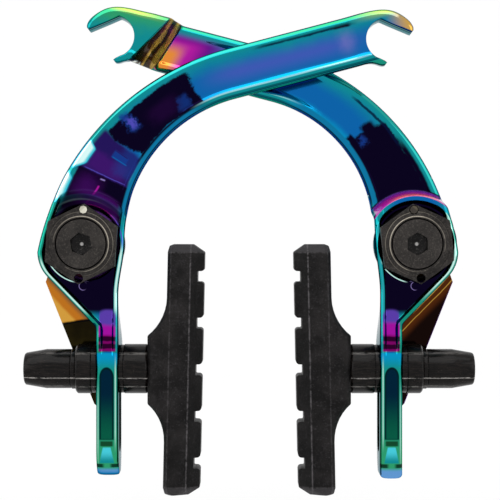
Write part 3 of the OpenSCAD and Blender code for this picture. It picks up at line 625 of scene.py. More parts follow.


# Reflections painted on the polished faces, as patches: from and to in mm along the arm and the
# softness, the same across as a share of the width, a slant in mm, a colour, its strength and how torn
# its outline is
mirrored = {
    "left": [
        (64, 100, 8, 0.36, 0.64, 0.17, 0, "violet", 0.5, 0),
        (66, 104, 7, 0.78, 0.93, 0.05, 0, "sky", 0.7, 0),
        (77, 100, 2.5, 0.13, 0.18, 0.018, -3, "navy", 1, 0.4),
        (96.5, 100.5, 0.8, 0.11, 0.19, 0.02, 0, "night", 1, 0.4),
        (97.5, 100, 2.2, 0.3, 0.66, 0.16, 0, "lilac", 0.36, 0.6),
        (19, 31, 0.8, 0.08, 0.93, 0.05, 2, "indigo", 1, 0.3),
        (20.5, 25.5, 1.2, 0.2, 0.8, 0.08, 1, "purple", 0.3, 0.4),
        (22, 30.5, 1.5, 0.6, 0.92, 0.1, 0, "deepBlue", 0.5, 0.8),
        (20.1, 20.35, 0.15, 0.2, 0.84, 0.05, 1, "violet", 0.8, 0.1),
        (26, 28.4, 0.3, 0.46, 0.72, 0.02, 1.5, "deepBlue", 0.9, 0),
        (26.1, 26.4, 0.15, 0.48, 0.74, 0.02, 1.5, "blue", 0.9, 0),
        (28.1, 28.4, 0.15, 0.46, 0.7, 0.02, 1.5, "indigo", 0.9, 0),
        (30, 57, 0.5, 0.17, 0.86, 0.02, -1, "night", 1, 1),
        (31, 71, 2.5, 0.85, 0.935, 0.015, 3, "night", 1, 0.3),
        (35.6, 38.6, 1.0, 0.1, 0.5, 0.07, 0, "deepBlue", 0.9, 1.4),
        (36.4, 38.2, 0.6, 0.24, 0.46, 0.06, 0, "violet", 0.8, 1.4),
        (51, 55.5, 0.8, 0.52, 0.78, 0.05, 2, "deepBlue", 0.6, 1),
        (42, 50, 3, 0.4, 0.75, 0.1, 0, "plum", 0.8, 1),
        (-2, 20.2, 0.4, 0.12, 0.96, 0.015, 1.5, "night", 1, 0.25),
        (12, 18.5, 2.5, 0.2, 0.5, 0.14, 0, "purple", 0.3, 0.8),
        (18.2, 18.6, 0.15, 0.49, 0.56, 0.012, 0, "lilac", 0.9, 0),
        (21, 33, 2, 0.9, 0.965, 0.02, 0, "cyan", 0.55, 0.3),
    ],
    "right": [
        (2, 31, 0.6, 0.15, 0.9, 0.02, -2, "night", 1, 0.9),
        (28, 34, 0.8, 0.3, 0.54, 0.05, 0, "night", 1, 0.7),
        (24, 34.5, 0.7, 0.74, 0.87, 0.02, 0, "night", 1, 0.7),
        (2, 25, 3, 0.1, 0.18, 0.02, 2, "night", 1, 0.4),
        (24, 41.5, 1.5, 0.165, 0.21, 0.012, 1, "navy", 0.9, 0.5),
        (28.6, 30.6, 0.8, 0.56, 0.72, 0.05, 0, "deepBlue", 0.8, 1.6),
    ],
}
# Painted highlights on the left arm's outer rim, as pale patches: from and to along the arm, and the
# share of the width that they reach at their ends and in their middle
rimPatches = [(18.2, 26.6, 0.055, 0.185), (9.2, 17.6, 0.035, 0.115)]
# Where the painted reflections beside the left nut lie: a magenta curve rising from it, and two arcs round
# it
nutCurve = dict(top=16.3, fall=6.5, across=0.51, bend=0.13, power=1.6, run=(9.8, 16.4))
nutArcs = dict(inner=(9.85, 10.1), outer=(10.75, 10.9))
# Radii about the pivot at which the ridge turns from the pocket to the arm's face
ridge = dict(inner=10.9, outer=14.1, crest=12, pink=12.2)
# The rear arm's step: how far in front of it its wall starts and ends, and the wall's depth
stepWall = dict(run=(-6.2, 0.25), y=(-3.7, 4.8), soft=0.12)


# The ridge above the right pocket, between two radii about the pivot
def ridgeBand(low, high, radius, along, z):
    return radius.band(low, high, 0.12) * z.rise(0, 4) * along.fall(16, 18)


# Painted highlights that the light leaves on the left arm's outer rim, and painted reflections in thin
# lines beside its nut
def leftLines(f, colour, along, across, radius, px, z, facing, torn):
    for start, stop, low, high in rimPatches:
        wide = along.rise(start, start + 3.2) * along.fall(stop - 1.6, stop + 0.4)
        top = low + wide * (high - low) + torn * 0.02
        beyond = across - top
        halo = beyond.fall(-0.02, 0.03) * wide.rise(0, 0.1)
        patch = beyond.fall(-0.01, 0.01) * across.rise(low - 0.03, low) * wide.rise(0.02, 0.1)
        colour.paint(halo * facing, "sky")
        glow = f.blend((top - across).rise(0.01, 0.06), "cyan", "pale")
        colour.paint(patch * facing, glow)
    # a painted reflection: a magenta curve that rises from the nut
    fall = (nutCurve["top"] - along).max(0) / nutCurve["fall"]
    curve = (across - nutCurve["across"] + fall.math("POWER", nutCurve["power"]) * nutCurve["bend"]).abs()
    curve = curve.fall(0.006, 0.02) * along.band(*nutCurve["run"], 0.25)
    colour.paint(curve * facing * 0.85, "magenta")
    # painted reflections: two arcs round the nut, purple turning blue towards the wheel
    arcs = radius.band(*nutArcs["inner"], 0.1) + radius.band(*nutArcs["outer"], 0.08) * 0.6
    hue = f.blend(px.rise(7, 9), "purple", "blue")
    colour.paint(arcs * px.rise(1.5, 4) * z.rise(-3, 1), hue)


# Painted reflections on the rear arm: before its step, on the step's wall with its glints, past the step
# on the claw's face, and on the ridge above the pocket
def rightBands(f, colour, along, across, radius, px, y, z, facing, wander):
    before = f.attribute("before")
    torn = before + wander * 2.5
    # painted reflections before the step: violet, purple, magenta and orange in turn nearer to it
    near = along.rise(60, 66) * facing * (1 - across.rise(0.92, 1) * 0.3)
    colour.paint(near * torn.fall(13, 23) * across.rise(0.12, 0.4), "violet")
    colour.paint(near * torn.fall(8, 15) * across.rise(0.1, 0.3), "purple")
    colour.paint(near * torn.fall(4.5, 10) * across.rise(0.16, 0.42), "magenta")
    colour.paint(near * torn.fall(1.2, 5.2) * across.rise(0.3, 0.62), "orange")
    onRun = along.rise(70, 80)
    face = onRun * before.fall(-4, -3) * y.fall(-3.6, -1.6)
    colour.paint(face, f.blend((across + wander).rise(0.1, 0.6), "green", "teal"))
    # painted reflections on the step's wall: brown, gold, olive and black glints in streaks
    streak = f.noise(240, 3, 0.6, f.point(before * 0.0016, z * 0.0004, y * 0.0006)) - 0.5
    depth = before * -0.19 + streak * 0.55
    wall = f.node("ShaderNodeValToRGB", {"stops": [
        (0, rainbowAndReflections["brown"]), (0.08, rainbowAndReflections["ink"]), (0.2, rainbowAndReflections["gold"]), (0.3, rainbowAndReflections["brown"]),
        (0.42, rainbowAndReflections["olive"]), (0.52, rainbowAndReflections["gold"]), (0.62, rainbowAndReflections["brown"]), (0.78, rainbowAndReflections["olive"]),
        (1, rainbowAndReflections["ink"])]}, [depth])
    soft = stepWall["soft"]
    colour.paint(onRun * before.band(*stepWall["run"], soft) * y.band(*stepWall["y"], soft), wall)
    # painted reflections on the ridge: blue and teal, pink at the crest, then magenta and purple to dark
    crest, pink, middle = ridge["crest"], ridge["pink"], px.abs()
    arch = f.blend(middle.rise(4, 9), "blue", "teal")
    glow = f.blend(middle.rise(4, 8), "pink", "magenta")
    arch.paint(radius.rise(crest, pink), glow)
    arch.paint(radius.rise(12.5, 13.0), "magenta")
    arch.paint(radius.rise(13.0, 13.5), "purple")
    arch.paint(radius.rise(13.5, 14.0), "night")
    colour.paint(ridgeBand(ridge["inner"], ridge["outer"], radius, along, z), arch)


# Both rims as painted reflections, from the outline inwards: a dark edge, a lighter crown that is a
# painted highlight, and a fall to the face
def rims(f, side, colour, along, outer, inner, wander):
    low, wide = inner + wander * 0.3, outer + wander * 0.6
    upper, beside = along.rise(52, 62), along.fall(6, 12)
    colour.paint(wide.fall(0.9, 2.2), "teal")
    crown = f.blend(along.rise(60, 100), partWay("sea", "cyan", 0.22), "green")
    colour.paint(outer.band(0.3, 0.95, 0.18), crown)
    colour.paint(outer.fall(0.12, 0.3), "deepSea")
    width = 1.3 if side == "left" else 1.7
    colour.paint(low.fall(width, width + 0.5) * (1 - upper), partWay("blue", "teal", 0.4))
    colour.paint(low.fall(1.5, 2.1) * upper, "teal")
    # a painted highlight along the inner rim of the upper bow
    line = low.band(1.7, 2.1, 0.16) * upper * along.fall(100, 106)
    colour.paint(line * 0.85, partWay("cyan", "pale", 0.5))
    colour.paint(inner.band(0.4, 0.7, 0.12), f.blend(upper, "navy", "deepSea"))
    colour.paint(inner.band(0.7, 1.0, 0.12) * upper * 0.8, "deepSea")
    colour.paint(inner.fall(0.2, 0.4), f.blend(upper, "deepBlue", "sea"))
    colour.paint(inner.fall(1.3, 1.7) * beside, "teal")
    colour.paint(outer.fall(1.3, 1.7) * beside, "sea")
    colour.paint(outer.min(inner).fall(0.1, 0.3) * beside, "deepSea")
    # painted highlights on the rims beside the pocket: mint, and cyan on the right arm's inner rim
    if side == "left":
        colour.paint(inner.band(0.4, 0.95, 0.15) * along.band(-17, -1, 2), "mint")
        colour.paint(outer.band(0.5, 0.95, 0.15) * along.band(-17, -4, 1.5), "mint")
    else:
        colour.paint(outer.band(0.55, 1.05, 0.18) * along.band(-12, 4, 3), "mint")
        colour.paint(inner.band(0.6, 0.9, 0.2) * beside * 0.4, "cyan")


# Side walls as painted reflections: a thin dark line under the rim, a strip of the white room, then
# teal and blue. In the claws the room shows twice, with a brown line between.
def sideWalls(f, side, colour, along, edge, radius, y, z, sideways):
    face = z.rise(7, 16) * -2.4 - 2
    if side == "right":
        before = f.attribute("before")
        face = along.rise(12, 14) * 7 - 2
        face = face - along.rise(70, 80) * before.fall(-4, -3) * 9.4
        onRidge = ridgeBand(ridge["inner"], ridge["outer"], radius, along, z)
        onStep = before.band(*stepWall["run"], stepWall["soft"]) * along.rise(70, 80)
        sideways = sideways * (1 - onRidge.max(onStep) * edge.rise(0.3, 0.8))
    behind = y - face
    claw = along.rise(94, 100)
    bow = 1 - claw
    wall = f.blend(behind.rise(1.9, 2.5), "navy", f.blend(claw, "pale", "bone"))
    wall.paint(behind.rise(3.2, 4.6) * bow, "teal")
    wall.paint(behind.rise(5.6, 8.4) * bow, "blue")
    wall.paint(behind.band(3.2, 4.2, 0.2) * claw, "brown")
    wall.paint(behind.rise(7.4, 8.2) * claw, "teal")
    wall.paint(behind.rise(8.4, 13), partWay("blue", "violet", 0.4))
    colour.paint(sideways * behind.rise(0.9, 1.3), wall)


# The pocket, painted dark as shade and dark reflections in the recess, with a pale arc of painted
# highlight beside the nut, a soft lip of painted reflection above it on the left arm and a thin ring of
# painted highlight under the nut's lower hole
def pocketLook(f, side, colour, along, edge, radius, px, z, facing, rearward, wander):
    reach = radius.fall(10.7, 11.0) if side == "right" else radius.fall(9.9, 12.4)
    inside = reach.max(z.fall(-1, 0)) * z.rise(-18.5, -16.5) * edge.rise(1.25, 1.5)
    colour.paint(inside * (1 - rearward) * along.fall(11, 13), "night")
    glow = px * (-1 if side == "right" else 1)
    arc = radius.band(9.72, 9.98, 0.06) * glow.band(-8.5, -2.5, 0.8) * z.fall(-5, -3)
    colour.paint(arc * facing, "mint")
    if side == "left":
        lip = radius.band(10.2, 13.4, 1.0) * z.rise(2, 5) * edge.rise(1.5, 3) * (1 - rearward)
        colour.paint(lip * 0.75, f.blend(px.rise(-4, 5), "plum", "purple"))
        # a painted reflection: a thin magenta to violet line round the nut
        line = radius.band(10.0, 10.25, 0.08) * px.rise(0, 3) * z.rise(-2, 2)
        colour.paint(line * 0.9, f.blend(px.rise(6, 9), "magenta", "violet"))
    ring = f.length(px, z + nutHole)
    part = ring.band(0.98, 1.14, 0.08) * (glow * -1 + wander * 5).rise(-0.6, 0.5)
    colour.paint(part * facing * 0.7, "lilac")


# Heights on the ramp and the plate, and places across the plate's bar
levels = dict(rampFoot=-27.3, rampHead=-17, crimson=-23.6, violet=-21, insetHead=-33.6, insetFoot=-49.4,
              ledge=(-50.9, -49.6), block=(-55.2, -51.2), footLine=(-56.4, -55.4), foot=-57.4)
bars = dict(left=(3.8, 4.05), right=(8.15, 8.45), ledge=(4.5, 7.7), inset=6.1, middle=6.15, ramp=6.2)


# The ramp, violet to crimson in ripples, and the slotted plate's bars below it, all painted reflections:
# each bar with a dark inset, a ledge, a bright block and a pale foot
def plateLook(f, colour, px, z, facing, rearward, wander):
    ripple = z + wander * 4
    waves = (ripple * 3.2).math("SINE")
    ramp = f.blend(waves.rise(-0.2, 0.9), plateTones["rampDark"], plateTones["rampLow"])
    crimson, violet, foot = levels["crimson"], levels["violet"], levels["rampFoot"]
    ramp.paint(ripple.rise(crimson, crimson + 1), plateTones["rampTop"])
    ramp.paint(ripple.rise(violet, violet + 1.4), partWay("violet", "purple", 0.45))
    scoop = f.length((px - bars["ramp"]) * 1.1, (z - violet) * 0.8)
    onRamp = z.rise(foot, foot + 0.4) * (1 - scoop.rise(3.1, 4.2).min(z.rise(-23, -21)))
    onRamp = onRamp * z.fall(levels["rampHead"], levels["rampHead"] + 1)
    onRamp = onRamp * px.rise(3.9, 4.3) * px.fall(8.1, 8.6)
    colour.paint(onRamp * facing, ramp)
    onPlate = z.fall(-27.6, -27.3) * px.fall(9.1, 9.3) * px.rise(3.1, 3.3)
    bar = f.blend(z.rise(-56, -40), "green", "sea")
    bar.paint(z.rise(-33, -30), "teal")
    bar.paint(z.rise(-31.5, -28), "sky")
    # painted highlights along the bar's two edges
    bar.paint(px.band(*bars["left"], 0.12) * z.band(-54, -38, 5), partWay("green", "mint", 0.6))
    bar.paint(px.band(*bars["right"], 0.12) * z.band(-50, -30, 3), partWay("green", "mint", 0.65))
    cap, foot = f.length(px - bars["inset"], (z - levels["insetHead"]).max(0) * 0.7), levels["insetFoot"]
    bar.paint(cap.fall(1.7, 1.95) * z.rise(foot - 0.2, foot + 0.4), plateTones["insetLine"])
    inset = f.blend(z.rise(-49, -37), plateTones["insetLow"], plateTones["insetTop"])
    bar.paint(cap.fall(1.25, 1.6) * z.rise(foot, foot + 0.6), inset)
    bar.paint(z.band(*levels["ledge"], 0.2) * px.band(*bars["ledge"], 0.3), plateTones["ledge"])
    aside = (px - bars["middle"]).abs()
    block = z.band(*levels["block"], 0.2) * (aside - (z + 51) * -0.22).fall(0.75, 1.1)
    bar.paint(block, f.blend(z.rise(-55, -52), "teal", "cyan"))
    bar.paint(z.band(*levels["footLine"], 0.15) * aside.rise(0.4, 1.4) * 0.9, plateTones["footLine"])
    bar.paint(z.fall(levels["foot"], levels["foot"] + 1.2), plateTones["foot"])
    colour.paint(onPlate * (1 - rearward), bar)


# The web in its rainbow finish with painted reflections: gold along the funnel's edge, falling to olive
# or brown and nearly black
def webLook(f, side, px, z, wander):
    across, down = web["fall"]
    beyond = (px * across + z * down) * -1 - web["start"] + wander
    if side == "right":
        look = f.blend(beyond.rise(2.4, 4.6), webTones["brown"], webTones["dark"])
        look.paint(beyond.band(0.5, 0.85, 0.1) + beyond.band(2.0, 2.2, 0.08) * 0.7, "gold")
        return f.blend((px + z * 0.4).rise(-14.9, -14.6), "purple", look)
    sheet = f.blend(beyond.rise(0.8, 2.6), webTones["grey"], webTones["orange"])
    sheet.paint(beyond.rise(3.4, 4.4), webTones["bright"])
    low = f.blend(wander.rise(-0.1, 0.25), webTones["low"], "olive")
    level = z + px * -0.12 + wander * 1.5
    look = f.blend(level.rise(-19.8, -19.2), low, sheet)
    return f.blend(level.band(-20.1, -19.7, 0.12), look, "ink")


# Where a wall would mirror a dark neighbour it is less of a mirror: the lip above the left nut,
# and on the right arm the ridge's slope and the step's wall
def metalShare(f, side, along, edge, radius, y, z, rearward):
    if side == "left":
        return 1 - radius.band(10.1, 13.7, 0.3) * z.rise(1, 4) * (1 - rearward) * edge.rise(1, 2) * 0.7
    slope = ridgeBand(ridge["crest"], 14.0, radius, along, z) * edge.rise(0.3, 0.8)
    before, soft = f.attribute("before"), stepWall["soft"]
    step = before.band(*stepWall["run"], soft) * along.rise(70, 80) * y.band(*stepWall["y"], soft)
    return 1 - (slope * 0.85).max(step * 0.6)


def armFinish(side):
    # the arm's rainbow finish, with its reflections, highlights and shade painted into the base colour
    f = Finish(side + " heat colour")
    along, outer, inner = f.attribute("along"), f.attribute("outer"), f.attribute("inner")
    x, y, z = f.places()
    ny = f.split(f.node("ShaderNodeNewGeometry", None, None, "Normal"))[1]
    px = x * -sides[side] + bossSpacing / 2
    radius, edge = f.length(px, z), outer.min(inner)
    across = outer / (outer + inner).max(0.5)
    wander = f.noise(70, 4, 0.6) - 0.5
    second = f.noise(90, 5, 0.65, f.point(x * mm + 3, y * mm, z * mm)) - 0.5
    fine = f.noise(420, 6, 0.75) - 0.5
    facing, rearward = (ny * -1).rise(0.45, 0.8), ny.rise(0.45, 0.8)
    sideways = ny.abs().fall(0.35, 0.75)
    # the rainbow finish with painted reflections: teal at the outer edge to blue across the face, sky
    # towards the inner edge
    colour = f.blend((across + wander * 0.3).rise(0.05, 0.5), "teal", "blue")
    colour.paint((across + wander * 0.2).rise(0.72, 0.9), "sky")
    # painted reflections, one patch of the mirrored table at a time
    for a0, a1, aSoft, t0, t1, tSoft, slant, hue, strength, torn in mirrored[side]:
        a, t = along + across * slant, across
        if torn:
            a = a + wander * (7 * torn) + fine * (5 * torn)
            t = t + second * (0.14 * torn) + fine * (0.12 * torn)
        patch = a.band(a0, a1, aSoft) * t.band(t0, t1, tSoft) * strength
        colour.paint(patch * facing, hue)
    rims(f, side, colour, along, outer, inner, wander)
    if side == "left":
        leftLines(f, colour, along, across, radius, px, z, facing, second)
    # claws: a painted highlight from green to lime along their rims, and gold at the tips
    tip = along.rise(100, 112) if side == "left" else along.rise(92, 102)
    onFace = 1 - sideways
    colour.paint(tip * outer.fall(1.0, 2.8) * onFace, "lime")
    colour.paint(along.rise(109, 116) * onFace, "gold")
    if side == "right":
        rightBands(f, colour, along, across, radius, px, y, z, facing, wander)
        colour.paint(tip * outer.fall(0.8, 2.2) * onFace, "lime")
    pocketLook(f, side, colour, along, edge, radius, px, z, facing, rearward, wander)
    plateLook(f, colour, px, z, facing, rearward, wander)
    sideWalls(f, side, colour, along, edge, radius, y, z, sideways * z.rise(-20, -14))
    # web behind the pad's hardware
    onWeb = y.rise(10.9, 11.2) * z.fall(-3, -1) * (1 - rearward)
    colour.paint(onWeb, webLook(f, side, px, z, wander))
    return f.shade(Base_Color=colour, Metallic=metalShare(f, side, along, edge, radius, y, z, rearward),
                   Roughness=0.1, Specular_Tint=tone(90, 140, 150))


for side, piece in arms.items():
    piece.data.materials.clear()
    piece.data.materials.append(armFinish(side))
print("arm finishes made")


# Radii on the nut's and the bolt's faces, and the y of those faces
nutFace = dict(rings=6.2, gap=(6.14, 6.42), wearAndHighlight=(6.8, 7.02), hub=(7.95, 8.08), key=3.0, point=0.3,
               front=-4.6, keyFront=-5.42)
post = dict(drop=31.8, y=4.6, pitch=1.0)
pad = dict(lean=1.2, ends=29.6, ridge=26.6, mould=21.5)


# Black phosphate on the nut and bolt at the pivot: fine turned rings, lines where edges rub that are
# partly wear and partly painted highlight, a dark gap round the bolt's head painted as shade, and a
# key socket painted dark as shade, with a bright point
def pivotSteel():
    f = Finish("black phosphate")
    x, y, z = f.places()
    off = x.abs() - bossSpacing / 2
    radius = f.length(off, z)
    speck, cloud = f.noise(2600, 3, 0.7), f.noise(260, 4, 0.6)
    rings = (radius * 21).math("SINE") * radius.fall(nutFace["rings"], nutFace["rings"] + 0.2)
    colour = f.blend(cloud.rise(0.3, 0.7), tone(32, 30, 29), tone(48, 45, 43))
    colour.paint(speck.rise(0.5, 0.72) * 0.5, tone(92, 87, 82))
    colour.paint(rings.rise(0.3, 1) * 0.18, tone(96, 92, 88))
    # the lines where edges rub: partly wear, partly painted highlight, brighter towards the top and the
    # inner side
    lit = 0.45 + (z * 0.04 - off * 0.05) + (cloud - 0.5) * 1.2
    wearAndHighlight = radius.band(*nutFace["wearAndHighlight"], 0.06) + radius.band(*nutFace["hub"], 0.06) * 0.5
    front = y.fall(nutFace["front"], nutFace["front"] + 0.4)
    colour.paint(wearAndHighlight * front * lit, tone(168, 160, 146))
    # painted shade in the gap round the bolt's head
    colour.paint(radius.band(*nutFace["gap"], 0.05) * front, tone(10, 9, 9))
    key, keyFront, point = nutFace["key"], nutFace["keyFront"], nutFace["point"]
    # painted shade: the key socket darker in its recess, with specks
    socket = y.rise(keyFront, keyFront + 0.12) * radius.fall(key, key + 0.2)
    colour.paint(socket, f.blend(speck.rise(0.55, 0.7), tone(22, 21, 21), tone(70, 68, 66)))
    colour.paint(radius.fall(point, point + 0.25) * y.rise(-5.4, -5.2), tone(176, 174, 172))
    normal = f.bump(speck * 0.5 + rings * 0.5, 0.00002)
    return f.shade(Base_Color=colour, Metallic=0.7, Specular_IOR_Level=0.3,
                   Roughness=0.42 + (cloud - 0.5) * 0.25, Normal=normal)


# Glossy black oxide of the pad's hardware, with scuffs and streaks along its turned faces, and thin
# lines of painted highlight along them
def blackOxide():
    f = Finish("black oxide")
    x, y, z = f.places()
    streak = f.noise(1, 3, 0.6, f.point(x * 0.35, y * 1.8, z * 2.6))
    scuff = f.noise(900, 5, 0.75)
    colour = f.blend(streak.rise(0.35, 0.75), tone(6, 5, 5), tone(24, 20, 18))
    colour.paint(scuff.rise(0.66, 0.74) * streak.rise(0.4, 0.6) * 0.6, tone(104, 96, 88))
    # painted highlights: thin lines at set heights about the post, broken up by the streaks and scuffs
    high = z + post["drop"]
    gleam = high.band(-2.2, -1.95, 0.1) * 0.8 + high.band(3.9, 4.4, 0.2) * 0.22
    gleam = gleam + high.band(-4.4, -4.1, 0.1) * 0.35
    broken = (streak + scuff * 0.5).rise(0.6, 0.85) * y.fall(1, 4)
    colour.paint(gleam * broken, tone(168, 164, 160))
    normal = f.bump(scuff, 0.00002)
    return f.shade(Base_Color=colour, Metallic=0.0, Specular_IOR_Level=0.08,
                   Roughness=0.2 + streak * 0.14, Coat_Weight=0.08, Coat_Roughness=0.06, Normal=normal)


# Moulded rubber: mottled, with pale grains and a line of wear where the sides break to the friction
# face; its ends painted lighter as a highlight, and the slope past that break painted darker as shade
def padRubber():
    f = Finish("moulded rubber")
    x, _, z = f.places()
    grain, speck, cloud = f.noise(1100, 4, 0.7), f.noise(2300, 2, 0.6), f.noise(170, 4, 0.6)
    colour = f.blend(cloud.rise(0.32, 0.7), tone(11, 10, 10), tone(31, 29, 29))
    colour.paint(grain.rise(0.5, 0.75) * 0.35, tone(58, 56, 58))
    colour.paint(speck.rise(0.6, 0.8) * 0.3, tone(90, 87, 89))
    high = z + post["drop"]
    across = bossSpacing / 2 - x.abs() - high * math.tan(math.radians(pad["lean"]))
    ends, side, mould = high.abs(), pad["ridge"], pad["mould"]
    onEnd = ends.rise(pad["ends"], pad["ends"] + 0.3)
    # painted highlight: both ends lighter
    colour.paint(onEnd * 0.55, tone(62, 60, 62))
    # painted shade: the slope from the break to the friction face darker
    colour.paint(across.rise(side, side + 0.3) * (1 - onEnd) * 0.4, tone(12, 12, 12))
    line = across.band(side - 0.15, side + 0.2, 0.1) + across.band(mould, mould + 0.3, 0.1) * 0.4
    line = line + ends.band(pad["ends"] - 0.1, pad["ends"] + 0.15, 0.1) * 0.6
    colour.paint(line * grain.rise(0.35, 0.6) * 0.55, tone(96, 93, 95))
    normal = f.bump(grain + speck * 0.5 + cloud, 0.0002)
    return f.shade(Base_Color=colour, Specular_IOR_Level=0.09, Roughness=0.45 + (grain - 0.5) * 0.4,
                   Normal=normal)


# Drawn or turned metal with fine marks across its length, and with a thread where pitch is given,
# its grooves painted darker as shade
def plainMetal(name, base, rough, pitch=0):
    f = Finish(name)
    x, y, z = f.places()
    marks, cloud = f.noise(1, 2, 0.5, f.point(x * 6, y * 6, z * 1.5)), f.noise(300, 3)
    colour = f.blend(cloud.rise(0.3, 0.7), tuple(c * 0.78 for c in base), base)
    colour.paint(marks.rise(0.5, 0.8) * 0.35, tuple(min(1, c * 1.35) for c in base))
    height = marks * 0.1
    if pitch:
        about = [y - post["y"], z + post["drop"]]
        turn = f.node("ShaderNodeMath", {"operation": "ARCTAN2"}, about) / (2 * math.pi)
        wave = ((x / pitch + turn) * (2 * math.pi)).math("SINE")
        height = wave * 0.5
        # painted shade in the thread's grooves
        colour = f.blend(wave.rise(-1, 0.2), tuple(c * 0.3 for c in base), colour)
    return f.shade(Base_Color=colour, Metallic=1.0, Roughness=rough + (cloud - 0.5) * 0.12,
                   Normal=f.bump(height, 0.0003 if pitch else 0.00002))


# The bright wire keeps its shine at the cut end, where one side is painted towards a mid tone, as shade
# on the bright wire and as a highlight on the dark one. Round the pivot, inside the arm's bore, the wire
# is painted dark as shade, with the arm's purple as a painted reflection on the bright wire.
def springWire(name, base, boreShade):
    f = Finish(name)
    x, y, z = f.places()
    cloud = f.noise(500, 3, 0.6)
    # painted shade on the bright wire and painted highlight on the dark one: one side of the cut end
    # towards a mid tone
    cut = y.fall(-5.3, -5.1) * ((x.abs() * 0.8 + z).rise(41.6, 42.2) * 0.35 + 0.05)
    colour = f.blend(cloud.rise(0.3, 0.7), tuple(c * 0.85 for c in base), base)
    colour.paint(cut, tone(120, 112, 92))
    # painted shade inside the arm's bore, purple on the bright wire as a painted reflection of the arm
    colour.paint(y.rise(-3.2, -2.2), boreShade)
    return f.shade(Base_Color=colour, Metallic=1.0, Roughness=0.3 + (cloud - 0.5) * 0.2)


def nylon():
    f = Finish("black nylon")
    cloud, grain = f.noise(400, 3), f.noise(1800, 3)
    return f.shade(Base_Color=f.blend(cloud, tone(22, 22, 24), tone(38, 38, 40)), Roughness=0.55,
                   Normal=f.bump(grain, 0.00002))


pivotFinish, oxideFinish = pivotSteel(), blackOxide()
finishes = {
    "bushing_brass": plainMetal("turned brass", tone(205, 170, 95), 0.3),
    "sleeve_steel": plainMetal("ground steel", tone(190, 190, 190), 0.25),
    "washer_nylon": nylon(),
    "spring_bright": springWire("bright wire", tone(232, 228, 212), tone(70, 40, 96)),
    "spring_dark": springWire("dark wire", tone(64, 60, 57), tone(30, 28, 30)),
    "black_steel": oxideFinish,
    "washer_steel": oxideFinish,
    "post_steel": plainMetal("post steel", tone(96, 92, 88), 0.35, post["pitch"]),
    "pad_rubber": padRubber(),
}
slots = {row["node"]: row["material_slot"] for row in frame["record"]["subparts"]}


def finishOf(node):
    if node.endswith(("tension_nut", "_bolt")):
        return pivotFinish
    return finishes[slots[node]]


# A copy of a CAD node's mesh with its doubles merged, flat faces joined and edges rounded
def dressed(node, width, body):
    source = frame["nodes"][node]
    piece = bpy.data.objects.new(node.replace("_", "-"), source.data.copy())
    bpy.context.scene.collection.objects.link(piece)
    work = bmesh.new()
    work.from_mesh(piece.data)
    bmesh.ops.remove_doubles(work, verts=work.verts, dist=2e-6)
    bmesh.ops.dissolve_limit(work, angle_limit=math.radians(0.5), verts=work.verts, edges=work.edges)
    work.to_mesh(piece.data)
    work.free()
    bevel = piece.modifiers.new("edges", "BEVEL")
    bevel.width, bevel.segments, bevel.limit_method = width * mm, 2, "ANGLE"
    bevel.angle_limit = math.radians(35)
    freeze(piece)
    piece.data.shade_smooth()
    piece.data.set_sharp_from_angle(angle=math.radians(40))
    piece.data.materials.clear()
    piece.data.materials.append(finishOf(node))
    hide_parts(node)
    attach(piece, body)
    return piece


# Width in mm of the rounding on each piece's edges
roundings = dict(brake_pad=0.35, pad_spacer=0.3, inner_dome_washer=0.25, outer_dome_washer=0.25,
                 cup_washer=0.3, flat_washer=0.2, pad_nut=0.25, tension_nut=0.15)

for node, source in frame["nodes"].items():
    if not node.endswith("_arm"):
        source.data.materials.clear()
        source.data.materials.append(finishOf(node))
for side in sides:
    for kind, width in roundings.items():
        body = "frame_fixings" if kind == "tension_nut" else side + "_lever"
        dressed(side + "_" + kind, width, body)
print("finishes on the hardware")

cameraSetup = dict(x=0.2, z=-1.5, away=404.4, lens=115.2)
camera = bpy.data.objects.new("camera", bpy.data.cameras.new("camera"))
bpy.context.scene.collection.objects.link(camera)
camera.location = (cameraSetup["x"] * mm, -cameraSetup["away"] * mm, cameraSetup["z"] * mm)
camera.rotation_euler = (math.pi / 2, 0, 0)
camera.data.lens, camera.data.sensor_width = cameraSetup["lens"], 36
camera.data.clip_start, camera.data.clip_end = 0.01, 10
bpy.context.scene.camera = camera


lamps = {
    "top softbox": dict(place=(-0.1, -0.35, 0.75), size=(1.1, 0.8), power=5.4),
    "left softbox": dict(place=(-0.75, -0.35, 0.1), size=(0.6, 0.9), power=2.4),
    "right softbox": dict(place=(0.75, -0.35, 0.1), size=(0.6, 0.9), power=1.8),
}


# A soft box, turned towards the origin
def lamp(name, place, size, power):
    data = bpy.data.lights.new(name, "AREA")
    data.shape, data.size, data.size_y, data.energy = "RECTANGLE", size[0], size[1], power
    light = bpy.data.objects.new(name, data)
    light.location = place
    way = -np.array(place) / np.linalg.norm(place)
    light.rotation_euler = (math.acos(-way[2]), 0, math.atan2(way[1], way[0]) - math.pi / 2)
    bpy.context.scene.collection.objects.link(light)


for name, setup in lamps.items():
    lamp(name, **setup)

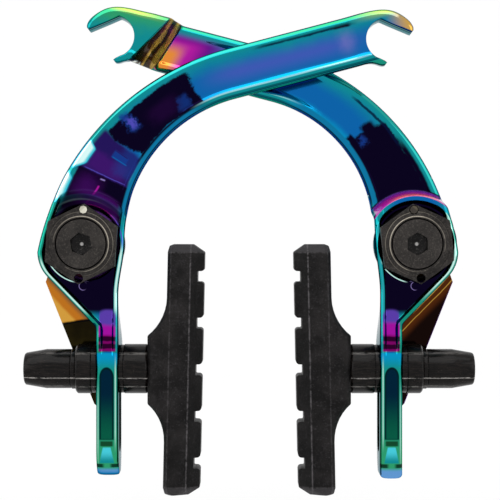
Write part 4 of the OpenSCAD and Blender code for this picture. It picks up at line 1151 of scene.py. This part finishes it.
# A white room: full white where it is seen or mirrored, and a little less as light
world = bpy.data.worlds.new("studio")
bpy.context.scene.world = world
world.use_nodes = True
room = Nodes(world.node_tree)
strength = room.shown() * 0.25 + 0.75
background = room.node("ShaderNodeBackground", None, {"Color": (1, 1, 1), "Strength": strength})
worldOut = room.nodes.new("ShaderNodeOutputWorld")
room.links.new(background.socket, worldOut.inputs[0])

# The floor curves up behind the object as one sweep. It lies low enough for the pads' ends when the
# arms are swung open.
paper = dict(drop=7, front=-900, back=400, curve=300, top=1500, half=1500, shown=0.94)
floorZ = cadBox[0][2] / mm - paper["drop"]
bend = np.radians(np.linspace(0, 90, 24))
back, curve = paper["back"], paper["curve"]
sweepY = np.concatenate([[paper["front"]], [back], back + curve * np.sin(bend), [back + curve]])
sweepZ = np.concatenate([[0], [0], curve * (1 - np.cos(bend)), [paper["top"]]]) + floorZ
columns = np.linspace(-paper["half"], paper["half"], 12)
grid = np.stack(np.broadcast_arrays(columns[None, :], sweepY[:, None], sweepZ[:, None]), -1)
rows, cols = grid.shape[:2]
corner = np.arange(rows - 1)[:, None] * cols + np.arange(cols - 1)[None, :]
quads = np.stack([corner, corner + 1, corner + cols + 1, corner + cols], -1).reshape(-1, 4)
sweep = bpy.data.meshes.new("sweep")
sweep.from_pydata((grid.reshape(-1, 3) * mm), [], quads.tolist())
backdrop = bpy.data.objects.new("backdrop", sweep)
bpy.context.scene.collection.objects.link(backdrop)
backdrop.data.shade_smooth()
f = Finish("pale paper")
f.shade(Base_Color=(0.9, 0.9, 0.9), Roughness=0.9)
glow = f.node("ShaderNodeEmission", None, {"Color": (1, 1, 1), "Strength": 1.0})
blendShader = f.nodes.new("ShaderNodeMixShader")
f.put(blendShader.inputs[0], f.shown() * paper["shown"])
f.links.new(f.shader.outputs[0], blendShader.inputs[1])
f.links.new(glow.socket, blendShader.inputs[2])
f.links.new(blendShader.outputs[0], f.nodes["Material Output"].inputs[0])
backdrop.data.materials.append(f.material)

bpy.context.scene.view_settings.view_transform = "Standard"
